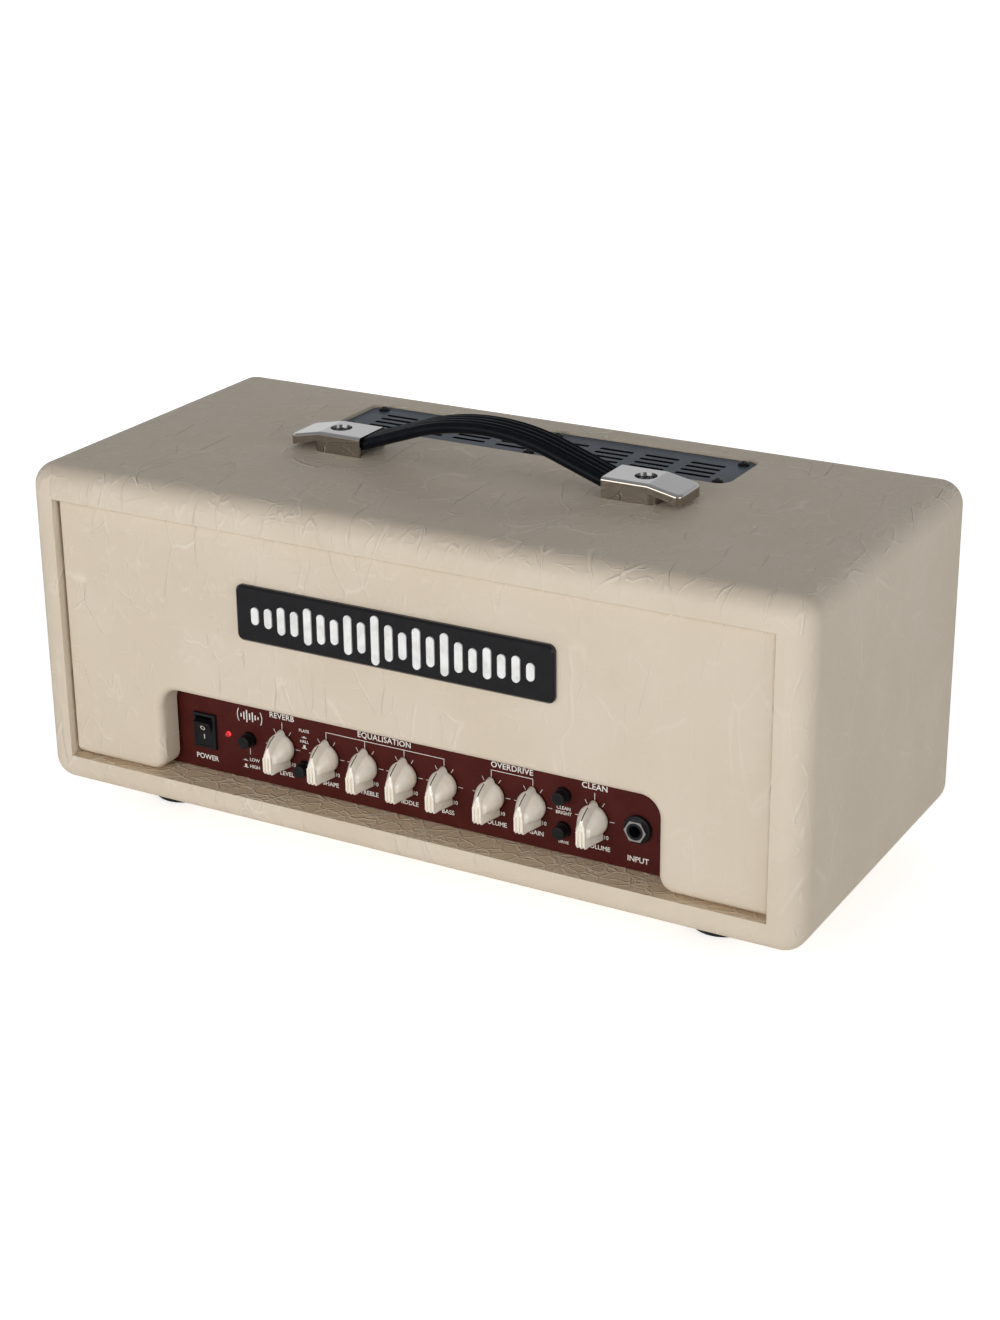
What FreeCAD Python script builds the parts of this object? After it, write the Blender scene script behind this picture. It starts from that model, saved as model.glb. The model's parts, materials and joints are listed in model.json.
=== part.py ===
import FreeCAD, Part
import Sketcher
import os
import re

# Guitar amplifier head: a covered wooden sleeve around a folded steel chassis.
# Row frame: +X right, +Y back, +Z up, origin on the ground under the middle of the cabinet.
# All sizes are in millimetres.

DIMENSIONS = {
    # cabinet
    "cab_width": 470, "cab_depth": 220, "cab_height": 191, "foot_height": 14,
    "wall": 18, "skin": 0.9, "edge_radius": 13.5, "wrap_depth": 40,
    # baffle with the window in front of the controls
    "baffle_recess": 4, "baffle_gap": 1, "baffle_board": 15, "baffle_edge": 2.2,
    "window_half": 154.5, "window_top": 70, "window_radius": 11, "window_edge": 5,
    "leg_radius": 9,
    # rear panel and cleats
    "rear_low": 79.5, "rear_board": 12, "rear_screw_x": 208, "rear_screw_inset": 8,
    "cleat": 14, "cleat_low": 80, "post_half": 10,
    # vent in the top
    "vent_half": 124, "vent_front": 36, "vent_back": 83.5, "vent_plate": 1.5, "vent_sink": 1.8,
    "vent_radius": 8, "vent_gap": 0.5, "vent_inset": 6.5, "slot_length": 20.8, "slot_width": 3.2,
    "slot_pitch_x": 28.1, "slot_pitch_y": 6.7, "vent_screw_x": 116, "vent_ledge": 11,
    # badge
    "badge_width": 194, "badge_height": 32, "badge_z": 127.6, "badge_thick": 3, "badge_corner": 4,
    "motif_thick": 0.9, "motif_pitch": 8.4, "motif_bar": 4.6, "motif_height": 24,
    # handle
    "strap_width": 22, "strap_thick": 7.2, "strap_round": 3, "strap_end": 86, "strap_relief": 1.8,
    "arch_reach": 92, "arch_run": 14, "arch_low": 4.6, "arch_high": 25.6, "arch_radius": 114,
    "core_width": 12, "core_thick": 1, "core_end": 103, "core_slot": 6,
    "handle_y": -2, "handle_screw_x": 95, "handle_screw": 2.4, "handle_hole": 2.6,
    "tee_flange": 8, "tee_barrel": 3.5, "tee_thick": 1.4, "tee_long": 9,
    # handle caps
    "cap_inner": 75, "cap_bend": 102, "cap_tip": 121.5, "cap_width": 26.5, "cap_high": 11.4,
    "cap_low": 7.4, "cap_wall": 1.2, "cap_corner": 4.5, "cap_roll": 1.8, "cap_rim": 4.2,
    "skirt_turn": 100, "skirt_end": 107, "dimple_low": 5, "dimple_high": 6, "dimple_floor": 8.2,
    # chassis and control panel
    "chassis_half": 200, "chassis_high": 58, "sheet_thick": 1.2, "chassis_back": 92,
    "panel_depth": 21.6, "panel_half": 166, "panel_low": 18.5, "panel_top": 73, "panel_thick": 1.2,
    "bolt_x": 170, "bolt_y": 20, "bolt_shank": 2.5, "bolt_hole": 2.7, "lid_play": 0.2,
    # knobs and potentiometers
    "knob_z": 42.8, "knob_radius": 8.5, "knob_high": 15.6, "knob_gap": 0.8, "knob_tip": 10.8,
    "knob_tail": 10.8, "knob_room": 6.6, "pot_radius": 8, "pot_deep": 9, "bush_radius": 3.5,
    "bush_out": 3.4, "shaft_radius": 3, "shaft_play": 0.05, "shaft_front": 9.5, "shaft_back": 6,
    # push buttons
    "button_radius": 3.6, "button_flange": 4.2, "button_out": 7, "button_step": 2.4,
    "button_play": 0.3, "switch_half": 4,
    # rocker switch and lamp
    "rocker_x": -136.5, "rocker_z": 42.4, "bezel_width": 15, "bezel_high": 21, "bezel_out": 2,
    "rocker_half": 7.6, "rocker_width": 10.8, "rocker_wall": 0.2, "rocker_axle": 3,
    "led_x": -121, "led_z": 43.1, "led_radius": 1.5,
    # jacks and inlet
    "jack_x": 135.3, "jack_z": 42.7, "jack_bore": 3.3, "jack_deep": 32, "jack_barrel": 4.7,
    "jack_out": 4.4, "collar_radius": 7.8, "collar_thick": 2.2, "nut_flats": 11, "nut_thick": 2.2,
    "inlet_x": 150, "inlet_z": 47, "inlet_screw": 20,
    # feet and wood screws
    "screw_shank": 1.6, "foot_x": 173, "foot_y": 63, "foot_base": 16.5, "foot_crown": 19,
    "foot_bore": 4.5, "foot_seat": 6,
}

KNOBS = {
    "reverb_level": -84.5, "shape": -55.5, "treble": -30.5, "middle": -5.5, "bass": 19.5,
    "overdrive_volume": 48.5, "overdrive_gain": 73.5, "clean_volume": 110,
}
BUTTONS = {
    "power_level": (-106.7, 42.9), "reverb_type": (-70, 33),
    "clean_bright": (91.75, 52.4), "overdrive": (91.75, 32.6),
}
REAR_JACKS_X = (-30, -60, -100, -130, -165)

# Reference planes, as expressions of the driving dimensions.
FRONT = "(-cab_depth/2)"
BACK = "(cab_depth/2)"
TOP = "(foot_height + cab_height)"
FLOOR = "(foot_height + wall)"
CEILING = "(foot_height + cab_height - wall)"
INSIDE = "(cab_width/2 - wall)"
BAFFLE_FRONT = "(-cab_depth/2 + baffle_recess)"
BAFFLE_BACK = "(-cab_depth/2 + baffle_recess + baffle_board + skin)"
REAR_FACE = "(cab_depth/2 - baffle_recess)"
REAR_INNER = "(cab_depth/2 - baffle_recess - rear_board - skin)"
PANEL = "(-cab_depth/2 + panel_depth)"
STEEL_FRONT = "(-cab_depth/2 + panel_depth + panel_thick)"
STEEL_INNER = "(-cab_depth/2 + panel_depth + panel_thick + sheet_thick)"
TRAY_FLOOR = "(foot_height + wall + sheet_thick)"
LID = "(foot_height + wall + chassis_high)"
VENT_FLOOR = "(foot_height + cab_height - vent_sink - vent_plate)"
VENT_MIDDLE = "((vent_front + vent_back)/2)"

doc = FreeCAD.newDocument("amp_head")
sheet = doc.addObject("Spreadsheet::Sheet", "dims")
for row, (alias, value) in enumerate(DIMENSIONS.items(), 1):
    sheet.set(f"A{row}", alias)
    sheet.set(f"B{row}", str(value))
    sheet.setAlias(f"B{row}", alias)
doc.recompute()

ALIAS = re.compile(r"\b(" + "|".join(DIMENSIONS) + r")\b")
TURNS = {
    "Z": FreeCAD.Rotation(),
    "-Z": FreeCAD.Rotation(FreeCAD.Vector(1, 0, 0), 180),
    "Y": FreeCAD.Rotation(FreeCAD.Vector(1, 0, 0), -90),
    "-Y": FreeCAD.Rotation(FreeCAD.Vector(1, 0, 0), 90),
    "X": FreeCAD.Rotation(FreeCAD.Vector(0, 1, 0), 90),
    "-X": FreeCAD.Rotation(FreeCAD.Vector(0, 1, 0), -90),
}
sub_parts = []


def refer(expression):
    """The expression with each alias pointed at the spreadsheet."""
    return ALIAS.sub(r"dims.\1", str(expression))


def number(expression):
    """The value an expression has now."""
    return float(sheet.evalExpression(refer(expression)))


def above(z):
    """A height measured from the cabinet's underside, as a row height."""
    return f"(foot_height + {z})"


def both(limit):
    """A range that is symmetric about zero."""
    return f"-({limit})", f"{limit}"


def keep(thing, label):
    """Marks an object as a sub-part of the amplifier."""
    thing.Label = label
    sub_parts.append(thing)
    return thing


def place(thing, at=("0", "0", "0"), turn="Z"):
    thing.Placement = FreeCAD.Placement(FreeCAD.Vector(), TURNS[turn])
    for axis, expression in zip("xyz", at):
        thing.setExpression(f"Placement.Base.{axis}", refer(expression))
    return thing


# ---- primitives and booleans ----

def box(x, y, z):
    """A box between two limits along each axis."""
    thing = doc.addObject("Part::Box", "box")
    for size, (low, high) in zip(("Length", "Width", "Height"), (x, y, z)):
        thing.setExpression(size, refer(f"({high}) - ({low})"))
    return place(thing, (x[0], y[0], z[0]))


def rod(at, turn, radius, length):
    """A cylinder that starts at a point and runs along an axis."""
    thing = doc.addObject("Part::Cylinder", "rod")
    thing.setExpression("Radius", refer(radius))
    thing.setExpression("Height", refer(length))
    return place(thing, at, turn)


def cone(at, turn, first, last, length):
    """A cone that starts at a point with one radius and ends with another."""
    thing = doc.addObject("Part::Cone", "cone")
    for size, value in (("Radius1", first), ("Radius2", last), ("Height", length)):
        thing.setExpression(size, refer(value))
    return place(thing, at, turn)


def hexagon(at, turn, flats, length):
    """A hexagonal prism given by its width across flats."""
    thing = doc.addObject("Part::Prism", "hexagon")
    thing.Polygon = 6
    thing.setExpression("Circumradius", refer(f"({flats})/sqrt(3)"))
    thing.setExpression("Height", refer(length))
    return place(thing, at, turn)


def combine(kind, things):
    thing = doc.addObject(kind, kind.split("::")[1].lower())
    if kind == "Part::Compound":
        thing.Links = things
    else:
        thing.Shapes = things
    return thing


def group(things):
    return combine("Part::Compound", things)


def fuse(*things):
    return combine("Part::MultiFuse", list(things))


def cut(base, *tools):
    thing = doc.addObject("Part::Cut", "cut")
    thing.Base = base
    thing.Tool = tools[0] if len(tools) == 1 else fuse(*tools)
    return thing


def common(first, second):
    return combine("Part::MultiCommon", [first, second])


def mirror_x(source):
    thing = doc.addObject("Part::Mirroring", "mirrored")
    thing.Source = source
    thing.Normal = FreeCAD.Vector(1, 0, 0)
    return thing


def round_edges(base, radius, wanted=lambda edge: True):
    """Rounds the edges of a solid that pass a test."""
    doc.recompute()
    thing = doc.addObject("Part::Fillet", "rounded")
    thing.Base = base
    value = number(radius)
    edges = enumerate(base.Shape.Edges, 1)
    thing.Edges = [(index, value, value) for index, edge in edges if wanted(edge)]
    return thing


def copies(master, places):
    """Linked copies of one solid; each place is a position and the axis its +Z turns to."""
    links = []
    for at, turn in places:
        link = doc.addObject("App::Link", "copy")
        link.LinkedObject = master
        link.LinkTransform = False
        links.append(place(link, at, turn))
    return links


# ---- sketched bodies ----

def new_body(name):
    return doc.addObject("PartDesign::Body", name)


def sketch(owner, role, offset="0"):
    """An empty sketch on one of the body's own origin planes, moved along its normal."""
    made = owner.newObject("Sketcher::SketchObject", "sketch")
    plane = next(f for f in owner.Origin.OriginFeatures if f.Role == role)
    made.AttachmentSupport = (plane, [""])
    made.MapMode = "FlatFace"
    made.setExpression("AttachmentOffset.Base.z", refer(offset))
    return made


def pin_point(made, geometry, point, u, v):
    """Dimensions a point of a sketch from the sketch's origin."""
    for kind, expression in (("DistanceX", u), ("DistanceY", v)):
        index = made.addConstraint(
            Sketcher.Constraint(kind, geometry, point, number(expression)))
        made.setExpression(f"Constraints[{index}]", refer(expression))


def fix_radius(made, geometry, radius):
    index = made.addConstraint(Sketcher.Constraint("Radius", geometry, number(radius)))
    made.setExpression(f"Constraints[{index}]", refer(radius))


def flat(u, v):
    return FreeCAD.Vector(number(u), number(v), 0)


def circle(made, u, v, radius):
    geometry = made.addGeometry(
        Part.Circle(flat(u, v), FreeCAD.Vector(0, 0, 1), number(radius)), False)
    pin_point(made, geometry, 3, u, v)
    fix_radius(made, geometry, radius)


def line(made, start, end):
    geometry = made.addGeometry(Part.LineSegment(flat(*start), flat(*end)), False)
    pin_point(made, geometry, 1, *start)
    pin_point(made, geometry, 2, *end)
    return geometry


def arc(made, start, end, radius, centre):
    """An arc that runs anticlockwise from start to end about a rough centre."""
    middle = FreeCAD.Vector(*centre, 0)
    first = flat(*start) - middle
    last = flat(*end) - middle
    turned = Part.Circle(middle, FreeCAD.Vector(0, 0, 1), number(radius))
    angles = [FreeCAD.Vector(1, 0, 0).getAngle(v) * (1 if v.y >= 0 else -1)
              for v in (first, last)]
    geometry = made.addGeometry(Part.ArcOfCircle(turned, *angles), False)
    pin_point(made, geometry, 1, *start)
    pin_point(made, geometry, 2, *end)
    fix_radius(made, geometry, radius)
    return geometry


def outline(made, corners):
    """A closed outline through corners (u, v) or, between square sides, (u, v, radius)."""
    count = len(corners)
    spots = [flat(*corner[:2]) for corner in corners]
    entries, exits = [], []
    for index, corner in enumerate(corners):
        radius = corner[2] if len(corner) > 2 else None
        ends = []
        for other in (spots[index - 1], spots[(index + 1) % count]):
            towards = (other - spots[index]).normalize()
            ends.append(tuple(
                f"({value}) + ({radius})*({step:g})" if radius else value
                for value, step in zip(corner[:2], towards)))
        entries.append(ends[0])
        exits.append(ends[1])
        if radius:
            into = (spots[index] - spots[index - 1]).normalize()
            out = (spots[(index + 1) % count] - spots[index]).normalize()
            left = into.x * out.y - into.y * out.x > 0
            centre = spots[index] + (out - into) * number(radius)
            ends = ends if left else ends[::-1]
            arc(made, ends[0], ends[1], radius, (centre.x, centre.y))
    for index in range(count):
        line(made, exits[index], entries[(index + 1) % count])


def rectangle(made, x, y, radius=None):
    corners = [(x[0], y[0]), (x[1], y[0]), (x[1], y[1]), (x[0], y[1])]
    outline(made, [corner + (radius,) if radius else corner for corner in corners])


def pad(owner, made, length, reverse=False, midplane=False):
    feature = owner.newObject("PartDesign::Pad", "pad")
    feature.Profile = made
    feature.setExpression("Length", refer(length))
    feature.Reversed = reverse
    feature.Midplane = midplane
    made.Visibility = False
    return feature


def pocket(owner, made, length, reverse=False, midplane=False):
    """Cuts a sketch into its body, and makes sure that material went away."""
    doc.recompute()
    before = owner.Shape.Volume
    feature = owner.newObject("PartDesign::Pocket", "pocket")
    feature.Profile = made
    feature.setExpression("Length", refer(length))
    feature.Reversed = reverse
    feature.Midplane = midplane
    doc.recompute()
    if owner.Shape.Volume >= before - 1e-6:
        raise RuntimeError(f"a pocket in {owner.Name} cuts nothing")
    return feature


def repeat(owner, made, feature, length, count):
    """Repeats a feature along its sketch's first axis."""
    pattern = owner.newObject("PartDesign::LinearPattern", "pattern")
    pattern.Originals = [feature]
    pattern.Direction = (made, ["H_Axis"])
    pattern.setExpression("Length", refer(length))
    pattern.Occurrences = count
    owner.Tip = pattern


def sweep(owner, section, path, transition="Transformed"):
    """Carries a section along a path."""
    feature = owner.newObject("PartDesign::AdditivePipe", "sweep")
    feature.Profile = section
    feature.Spine = path
    feature.Transition = transition
    return feature


def revolve(owner, corners):
    """Turns an outline of (radius, height) corners about the body's Z axis."""
    made = sketch(owner, "XZ_Plane")
    outline(made, corners)
    feature = owner.newObject("PartDesign::Revolution", "revolution")
    feature.Profile = made
    feature.ReferenceAxis = (made, ["V_Axis"])
    return feature


def dress(owner, kind, size, amount, wanted):
    """Adds a fillet or chamfer to the body's edges that pass a test."""
    doc.recompute()
    last = owner.Tip
    names = [f"Edge{i}" for i, edge in enumerate(last.Shape.Edges, 1) if wanted(edge)]
    feature = owner.newObject(kind, kind.split("::")[1].lower())
    feature.Base = (last, names)
    feature.setExpression(size, refer(amount))
    return feature


def fillet(owner, radius, wanted):
    return dress(owner, "PartDesign::Fillet", "Radius", radius, wanted)


def at_level(axis, expression, slack=0.01):
    """A test for edges that lie wholly on a plane square to an axis."""
    level = number(expression)
    low, high = f"{axis}Min", f"{axis}Max"

    def wanted(edge):
        bounds = edge.BoundBox
        return abs(getattr(bounds, low) - level) < slack and abs(getattr(bounds, high) - level) < slack
    return wanted


# ---- the sleeve: four boards under one vinyl covering ----

def vent_recess(grow, depth):
    """The rebate that holds the vent plate, as a solid that reaches above the top."""
    owner = new_body("vent_recess")
    made = sketch(owner, "XY_Plane", f"foot_height + cab_height - ({depth})")
    rectangle(made, both(f"vent_half + {grow}"),
              (f"vent_front - ({grow})", f"vent_back + {grow}"), f"vent_radius + {grow}")
    pad(owner, made, f"{depth} + 5")
    return owner


def corner_spots(x, y):
    """The four places at plus and minus x and y."""
    return [(f"{side_x}{x}", f"{side_y}{y}") for side_x in ("-", "") for side_y in ("-", "")]


def vent_screw_spots():
    rows = ("vent_front + vent_inset", "vent_back - vent_inset")
    return [(x, y) for x in ("-vent_screw_x", "0", "vent_screw_x") for y in rows]


def sleeve():
    blocks = {}
    for name, less in (("outer", "0"), ("board", "skin")):
        block = box(both(f"cab_width/2 - {less}"), both(f"cab_depth/2 - {less}"),
                    (f"foot_height + {less}", f"{TOP} - {less}"))
        rounded = round_edges(block, f"edge_radius - {less}")
        hollow = box(both(f"{INSIDE} + {less}"), both("cab_depth"),
                     (f"{FLOOR} - {less}", f"{CEILING} + {less}"))
        blocks[name] = cut(rounded, hollow)
    boards = cut(blocks["board"], vent_recess("vent_gap + skin", "vent_sink + vent_plate + skin"))

    opening = box(both("vent_half - vent_ledge - 3.5"),
                  ("vent_front + vent_ledge", "vent_back - vent_ledge"),
                  (f"{CEILING} - 5", f"{TOP} + 5"))
    handle_spots = [(f"{side}handle_screw_x", "handle_y", f"{CEILING} - 5") for side in ("-", "")]
    handle_holes = [rod(spot, "Z", "handle_hole", "wall + 10") for spot in handle_spots]
    nut_holes = [rod(spot, "Z", "tee_barrel + 0.1", "tee_long + skin + 4") for spot in handle_spots]
    bolt_holes = [rod((x, y, "0"), "Z", "bolt_hole", f"{FLOOR} + 5")
                  for x, y in corner_spots("bolt_x", "bolt_y")]
    foot_holes = [rod((x, y, "0"), "Z", "screw_shank", "foot_height + 10")
                  for x, y in corner_spots("foot_x", "foot_y")]
    vent_holes = [rod((x, y, f"{TOP} - wall"), "Z", "screw_shank", "wall + 2")
                  for x, y in vent_screw_spots()]

    wide = both("cab_width")
    top_slab = box(wide, wide, (f"{CEILING} + skin", "2*cab_width"))
    low_slab = box(wide, wide, ("0", f"{FLOOR} - skin"))
    middle_slab = box(wide, wide, (f"{FLOOR} - skin", f"{CEILING} + skin"))
    keep(cut(common(boards, top_slab), opening, *handle_holes, *nut_holes, *vent_holes),
         "sleeve_top_board")
    keep(cut(common(boards, low_slab), *bolt_holes, *foot_holes), "sleeve_bottom_board")
    keep(common(boards, middle_slab), "sleeve_side_boards")

    bare = box(both(f"{INSIDE} + skin"), both("cab_depth/2 - wrap_depth"),
               (f"{FLOOR} - skin", f"{CEILING} + skin"))
    recess = vent_recess("vent_gap", "vent_sink + vent_plate")
    keep(cut(blocks["outer"], boards, bare, recess, opening, *handle_holes, *bolt_holes,
             *foot_holes, *vent_holes), "sleeve_covering")


# ---- baffle and rear panel ----

def baffle_blank(name, inset, depth, front):
    """The baffle's outline with its window, drawn in by an inset, as a slab behind its front."""
    owner = new_body(name)
    made = sketch(owner, "XZ_Plane", f"-({front})")
    outer = f"{INSIDE} - baffle_gap - ({inset})"
    low = f"{FLOOR} + baffle_gap + {inset}"
    high = f"{CEILING} - baffle_gap - ({inset})"
    sill = f"foot_height + window_top + {inset}"
    gap = f"window_half + {inset}"
    leg = f"leg_radius - ({inset})"
    inner = f"window_radius - ({inset})"
    outline(made, [
        (f"-({outer})", low), (f"-({gap})", low, leg), (f"-({gap})", sill, inner),
        (gap, sill, inner), (gap, low, leg), (outer, low), (outer, high), (f"-({outer})", high)])
    pad(owner, made, depth, reverse=True)
    return owner


def baffle():
    def window_edge(edge):
        bounds = edge.BoundBox
        reach = number("window_half + 2")
        inside = bounds.XMax < reach and bounds.XMin > -reach
        return inside and bounds.ZMax < number("foot_height + window_top + 2")

    blanks = {}
    shapes = {"outer": ("0", "baffle_board + skin", BAFFLE_FRONT),
              "board": ("skin", "baffle_board", f"{BAFFLE_FRONT} + skin")}
    for name, (inset, depth, front) in shapes.items():
        owner = baffle_blank(f"baffle_{name}", inset, depth, front)
        face = at_level("Y", front)
        fillet(owner, f"window_edge - {inset}", lambda e, f=face: f(e) and window_edge(e))
        high = number(f"{CEILING} - baffle_gap - ({inset})")
        fillet(owner, f"baffle_edge - {inset}",
               lambda e, f=face, top=high: f(e) and e.BoundBox.ZMax > top - 1)
        blanks[name] = owner
    keep(blanks["board"], "baffle_board")
    keep(cut(blanks["outer"], blanks["board"]), "baffle_covering")


def rear_panel():
    rows = ("rear_low + rear_screw_inset", "cab_height - wall - rear_screw_inset")
    spots = [(x, z) for x in ("-rear_screw_x", "0", "rear_screw_x") for z in rows]
    holes = [rod((x, f"{REAR_FACE} + 5", above(z)), "-Y", "screw_shank", "40") for x, z in spots]
    slabs = {}
    for name, inset in (("outer", "0"), ("board", "skin")):
        owner = new_body(f"rear_{name}")
        made = sketch(owner, "XZ_Plane", f"-({REAR_FACE} - ({inset}))")
        rectangle(made, both(f"{INSIDE} - baffle_gap - ({inset})"),
                  (f"{above('rear_low')} + {inset}", f"{CEILING} - baffle_gap - ({inset})"))
        pad(owner, made, f"rear_board + skin - ({inset})")
        fillet(owner, f"baffle_edge - {inset}", at_level("Y", f"{REAR_FACE} - ({inset})"))
        slabs[name] = owner
    keep(cut(slabs["board"], *holes), "rear_panel_board")
    keep(cut(slabs["outer"], slabs["board"], *holes), "rear_panel_covering")

    cleats = []
    front_row = (BAFFLE_BACK, f"{BAFFLE_BACK} + cleat")
    back_row = (f"{REAR_INNER} - cleat", REAR_INNER)
    for depth in (front_row, back_row):
        for side in ((f"-({INSIDE})", f"-({INSIDE}) + cleat"), (f"{INSIDE} - cleat", INSIDE)):
            cleats.append(box(side, depth, (above("cleat_low"), CEILING)))
        cleats.append(box(both(f"{INSIDE} - cleat"), depth, (f"{CEILING} - cleat", CEILING)))
    cleats.append(box(both("post_half"), back_row, (above("cleat_low"), f"{CEILING} - cleat")))
    keep(cut(group(cleats), *holes), "panel_cleats")
    return [((x, REAR_FACE, above(z)), "Y") for x, z in spots]


def vent_plate():
    owner = new_body("vent_plate_body")
    made = sketch(owner, "XY_Plane", VENT_FLOOR)
    rectangle(made, both("vent_half"), ("vent_front", "vent_back"), "vent_radius")
    for x, y in vent_screw_spots():
        circle(made, x, y, "screw_shank + 0.2")
    pad(owner, made, "vent_plate")
    slots = sketch(owner, "XY_Plane", VENT_FLOOR)
    first = "slot_pitch_x*(-3.5)"
    for row_step in (-1.5, -0.5, 0.5, 1.5):
        y = f"{VENT_MIDDLE} + slot_pitch_y*({row_step}) - 1"
        rectangle(slots, (f"{first} - slot_length/2", f"{first} + slot_length/2"),
                  (f"{y} - slot_width/2", f"{y} + slot_width/2"), "slot_width*0.3")
    cuts = pocket(owner, slots, "vent_plate + 1", reverse=True)
    repeat(owner, slots, cuts, "slot_pitch_x*7", 8)
    keep(owner, "vent_plate")


def screw_master(name, head_radius, head_high, shank, length):
    """A pan-head screw with a cross recess: the head's underside is at height zero."""
    owner = new_body(name)
    revolve(owner, [("0", f"-({length})"), (shank, f"-({length}) + ({shank})"), (shank, "0"),
                    (head_radius, "0"), (head_radius, f"({head_high})*0.45"),
                    (f"({head_radius})*0.8", f"({head_high})*0.85"),
                    (f"({head_radius})*0.45", head_high), ("0", head_high)])
    cross = sketch(owner, "XY_Plane", head_high)
    arm, half = f"({head_radius})*0.52", f"({head_radius})*0.13"
    outline(cross, [
        (f"-({arm})", f"-({half})"), (f"-({half})", f"-({half})"), (f"-({half})", f"-({arm})"),
        (half, f"-({arm})"), (half, f"-({half})"), (arm, f"-({half})"), (arm, half), (half, half),
        (half, arm), (f"-({half})", arm), (f"-({half})", half), (f"-({arm})", half)])
    pocket(owner, cross, f"({head_high})*0.7")
    return owner


# ---- badge with a raised sound-wave motif ----

def badge():
    owner = new_body("badge_body")
    made = sketch(owner, "XZ_Plane", f"-({BAFFLE_FRONT})")
    rectangle(made, both("badge_width/2"),
              (above("badge_z - badge_height/2"), above("badge_z + badge_height/2")), "badge_corner")
    pad(owner, made, "badge_thick")
    dress(owner, "PartDesign::Chamfer", "Size", "badge_thick*0.4",
          at_level("Y", f"{BAFFLE_FRONT} - badge_thick"))
    keep(owner, "badge_plate")

    bars = []
    front = f"{BAFFLE_FRONT} - badge_thick"
    count = 21
    for index in range(count):
        swell = 1 - abs(2 * index / (count - 1) - 1)
        beat = (0.55, 0.3, 0.8, 0.45, 1.0)[index % 5]
        high = f"motif_height/2*{0.22 + 0.78 * swell ** 0.6 * beat:.3f}"
        x = f"motif_pitch*({index} - {(count - 1) // 2})"
        ends = [rod((x, front, above(f"badge_z {sign} ({high})")), "-Y", "motif_bar/2", "motif_thick")
                for sign in "+-"]
        stem = box((f"{x} - motif_bar/2", f"{x} + motif_bar/2"), (f"{front} - motif_thick", front),
                   (above(f"badge_z - ({high})"), above(f"badge_z + {high}")))
        bars.append(fuse(stem, *ends))
    keep(group(bars), "badge_motif")


# ---- handle ----

def arch_sweep(name, width, thick, end, radius=None):
    """A flat section swept over the handle's arch, out to a distance either side of the middle."""
    owner = new_body(name)
    total = "((arch_reach^2 + (arch_high - arch_low)^2)/(2*(arch_high - arch_low)))"
    turn_x = f"arch_radius*arch_reach/{total}"
    turn_z = f"{TOP} + arch_high - arch_radius*(arch_high - arch_low)/{total}"
    low = f"{TOP} + arch_low"
    path = sketch(owner, "XZ_Plane", "-(handle_y)")
    far = number(f"{low} + {total} - arch_radius")
    line(path, ("-arch_reach - arch_run", low), ("-arch_reach", low))
    arc(path, ("-arch_reach", low), (f"-({turn_x})", turn_z), f"{total} - arch_radius",
        (-number("arch_reach"), far))
    arc(path, (turn_x, turn_z), (f"-({turn_x})", turn_z), "arch_radius",
        (0, number(f"{TOP} + arch_high - arch_radius")))
    arc(path, (turn_x, turn_z), ("arch_reach", low), f"{total} - arch_radius",
        (number("arch_reach"), far))
    line(path, ("arch_reach", low), ("arch_reach + arch_run", low))
    section = sketch(owner, "YZ_Plane", "-arch_reach - arch_run")
    rectangle(section, (f"handle_y - ({width})/2", f"handle_y + ({width})/2"),
              (f"{low} - ({thick})/2", f"{low} + ({thick})/2"), radius)
    sweep(owner, section, path)
    return common(owner, box(both(end), both("cab_depth"), (TOP, "2*cab_width")))


def cap_plan(name, wall, end, corner, height):
    """A slab over the top board that is square at its inner end and rounded at its outer end."""
    owner = new_body(name)
    made = sketch(owner, "XY_Plane", f"{TOP}")
    half = f"(cap_width/2 - {wall})"
    start = f"(cap_inner - 2*({wall}))"
    reach = f"({end} - {wall})"
    turn = f"{corner} - {wall}"
    outline(made, [(start, f"handle_y - {half}"), (reach, f"handle_y - {half}", turn),
                   (reach, f"handle_y + {half}", turn), (start, f"handle_y + {half}")])
    pad(owner, made, height)
    return owner


def cap_shell(name, wall):
    """The cap's outer or inner form: its plan under a top that is flat and then falls to the tip."""
    plan = cap_plan(f"{name}_plan", wall, "cap_tip", "cap_corner", "2*cap_high")
    side = new_body(f"{name}_side")
    made = sketch(side, "XZ_Plane", "-(handle_y)")
    outline(made, [("cap_inner - 5", f"{TOP} - 1"), ("cap_tip", f"{TOP} - 1"),
                   ("cap_tip", f"{TOP} + cap_low - ({wall})"),
                   ("cap_bend", f"{TOP} + cap_high - ({wall})"),
                   ("cap_inner - 5", f"{TOP} + cap_high - ({wall})")])
    pad(side, made, "cap_width", midplane=True)
    return common(plan, side)


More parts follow.
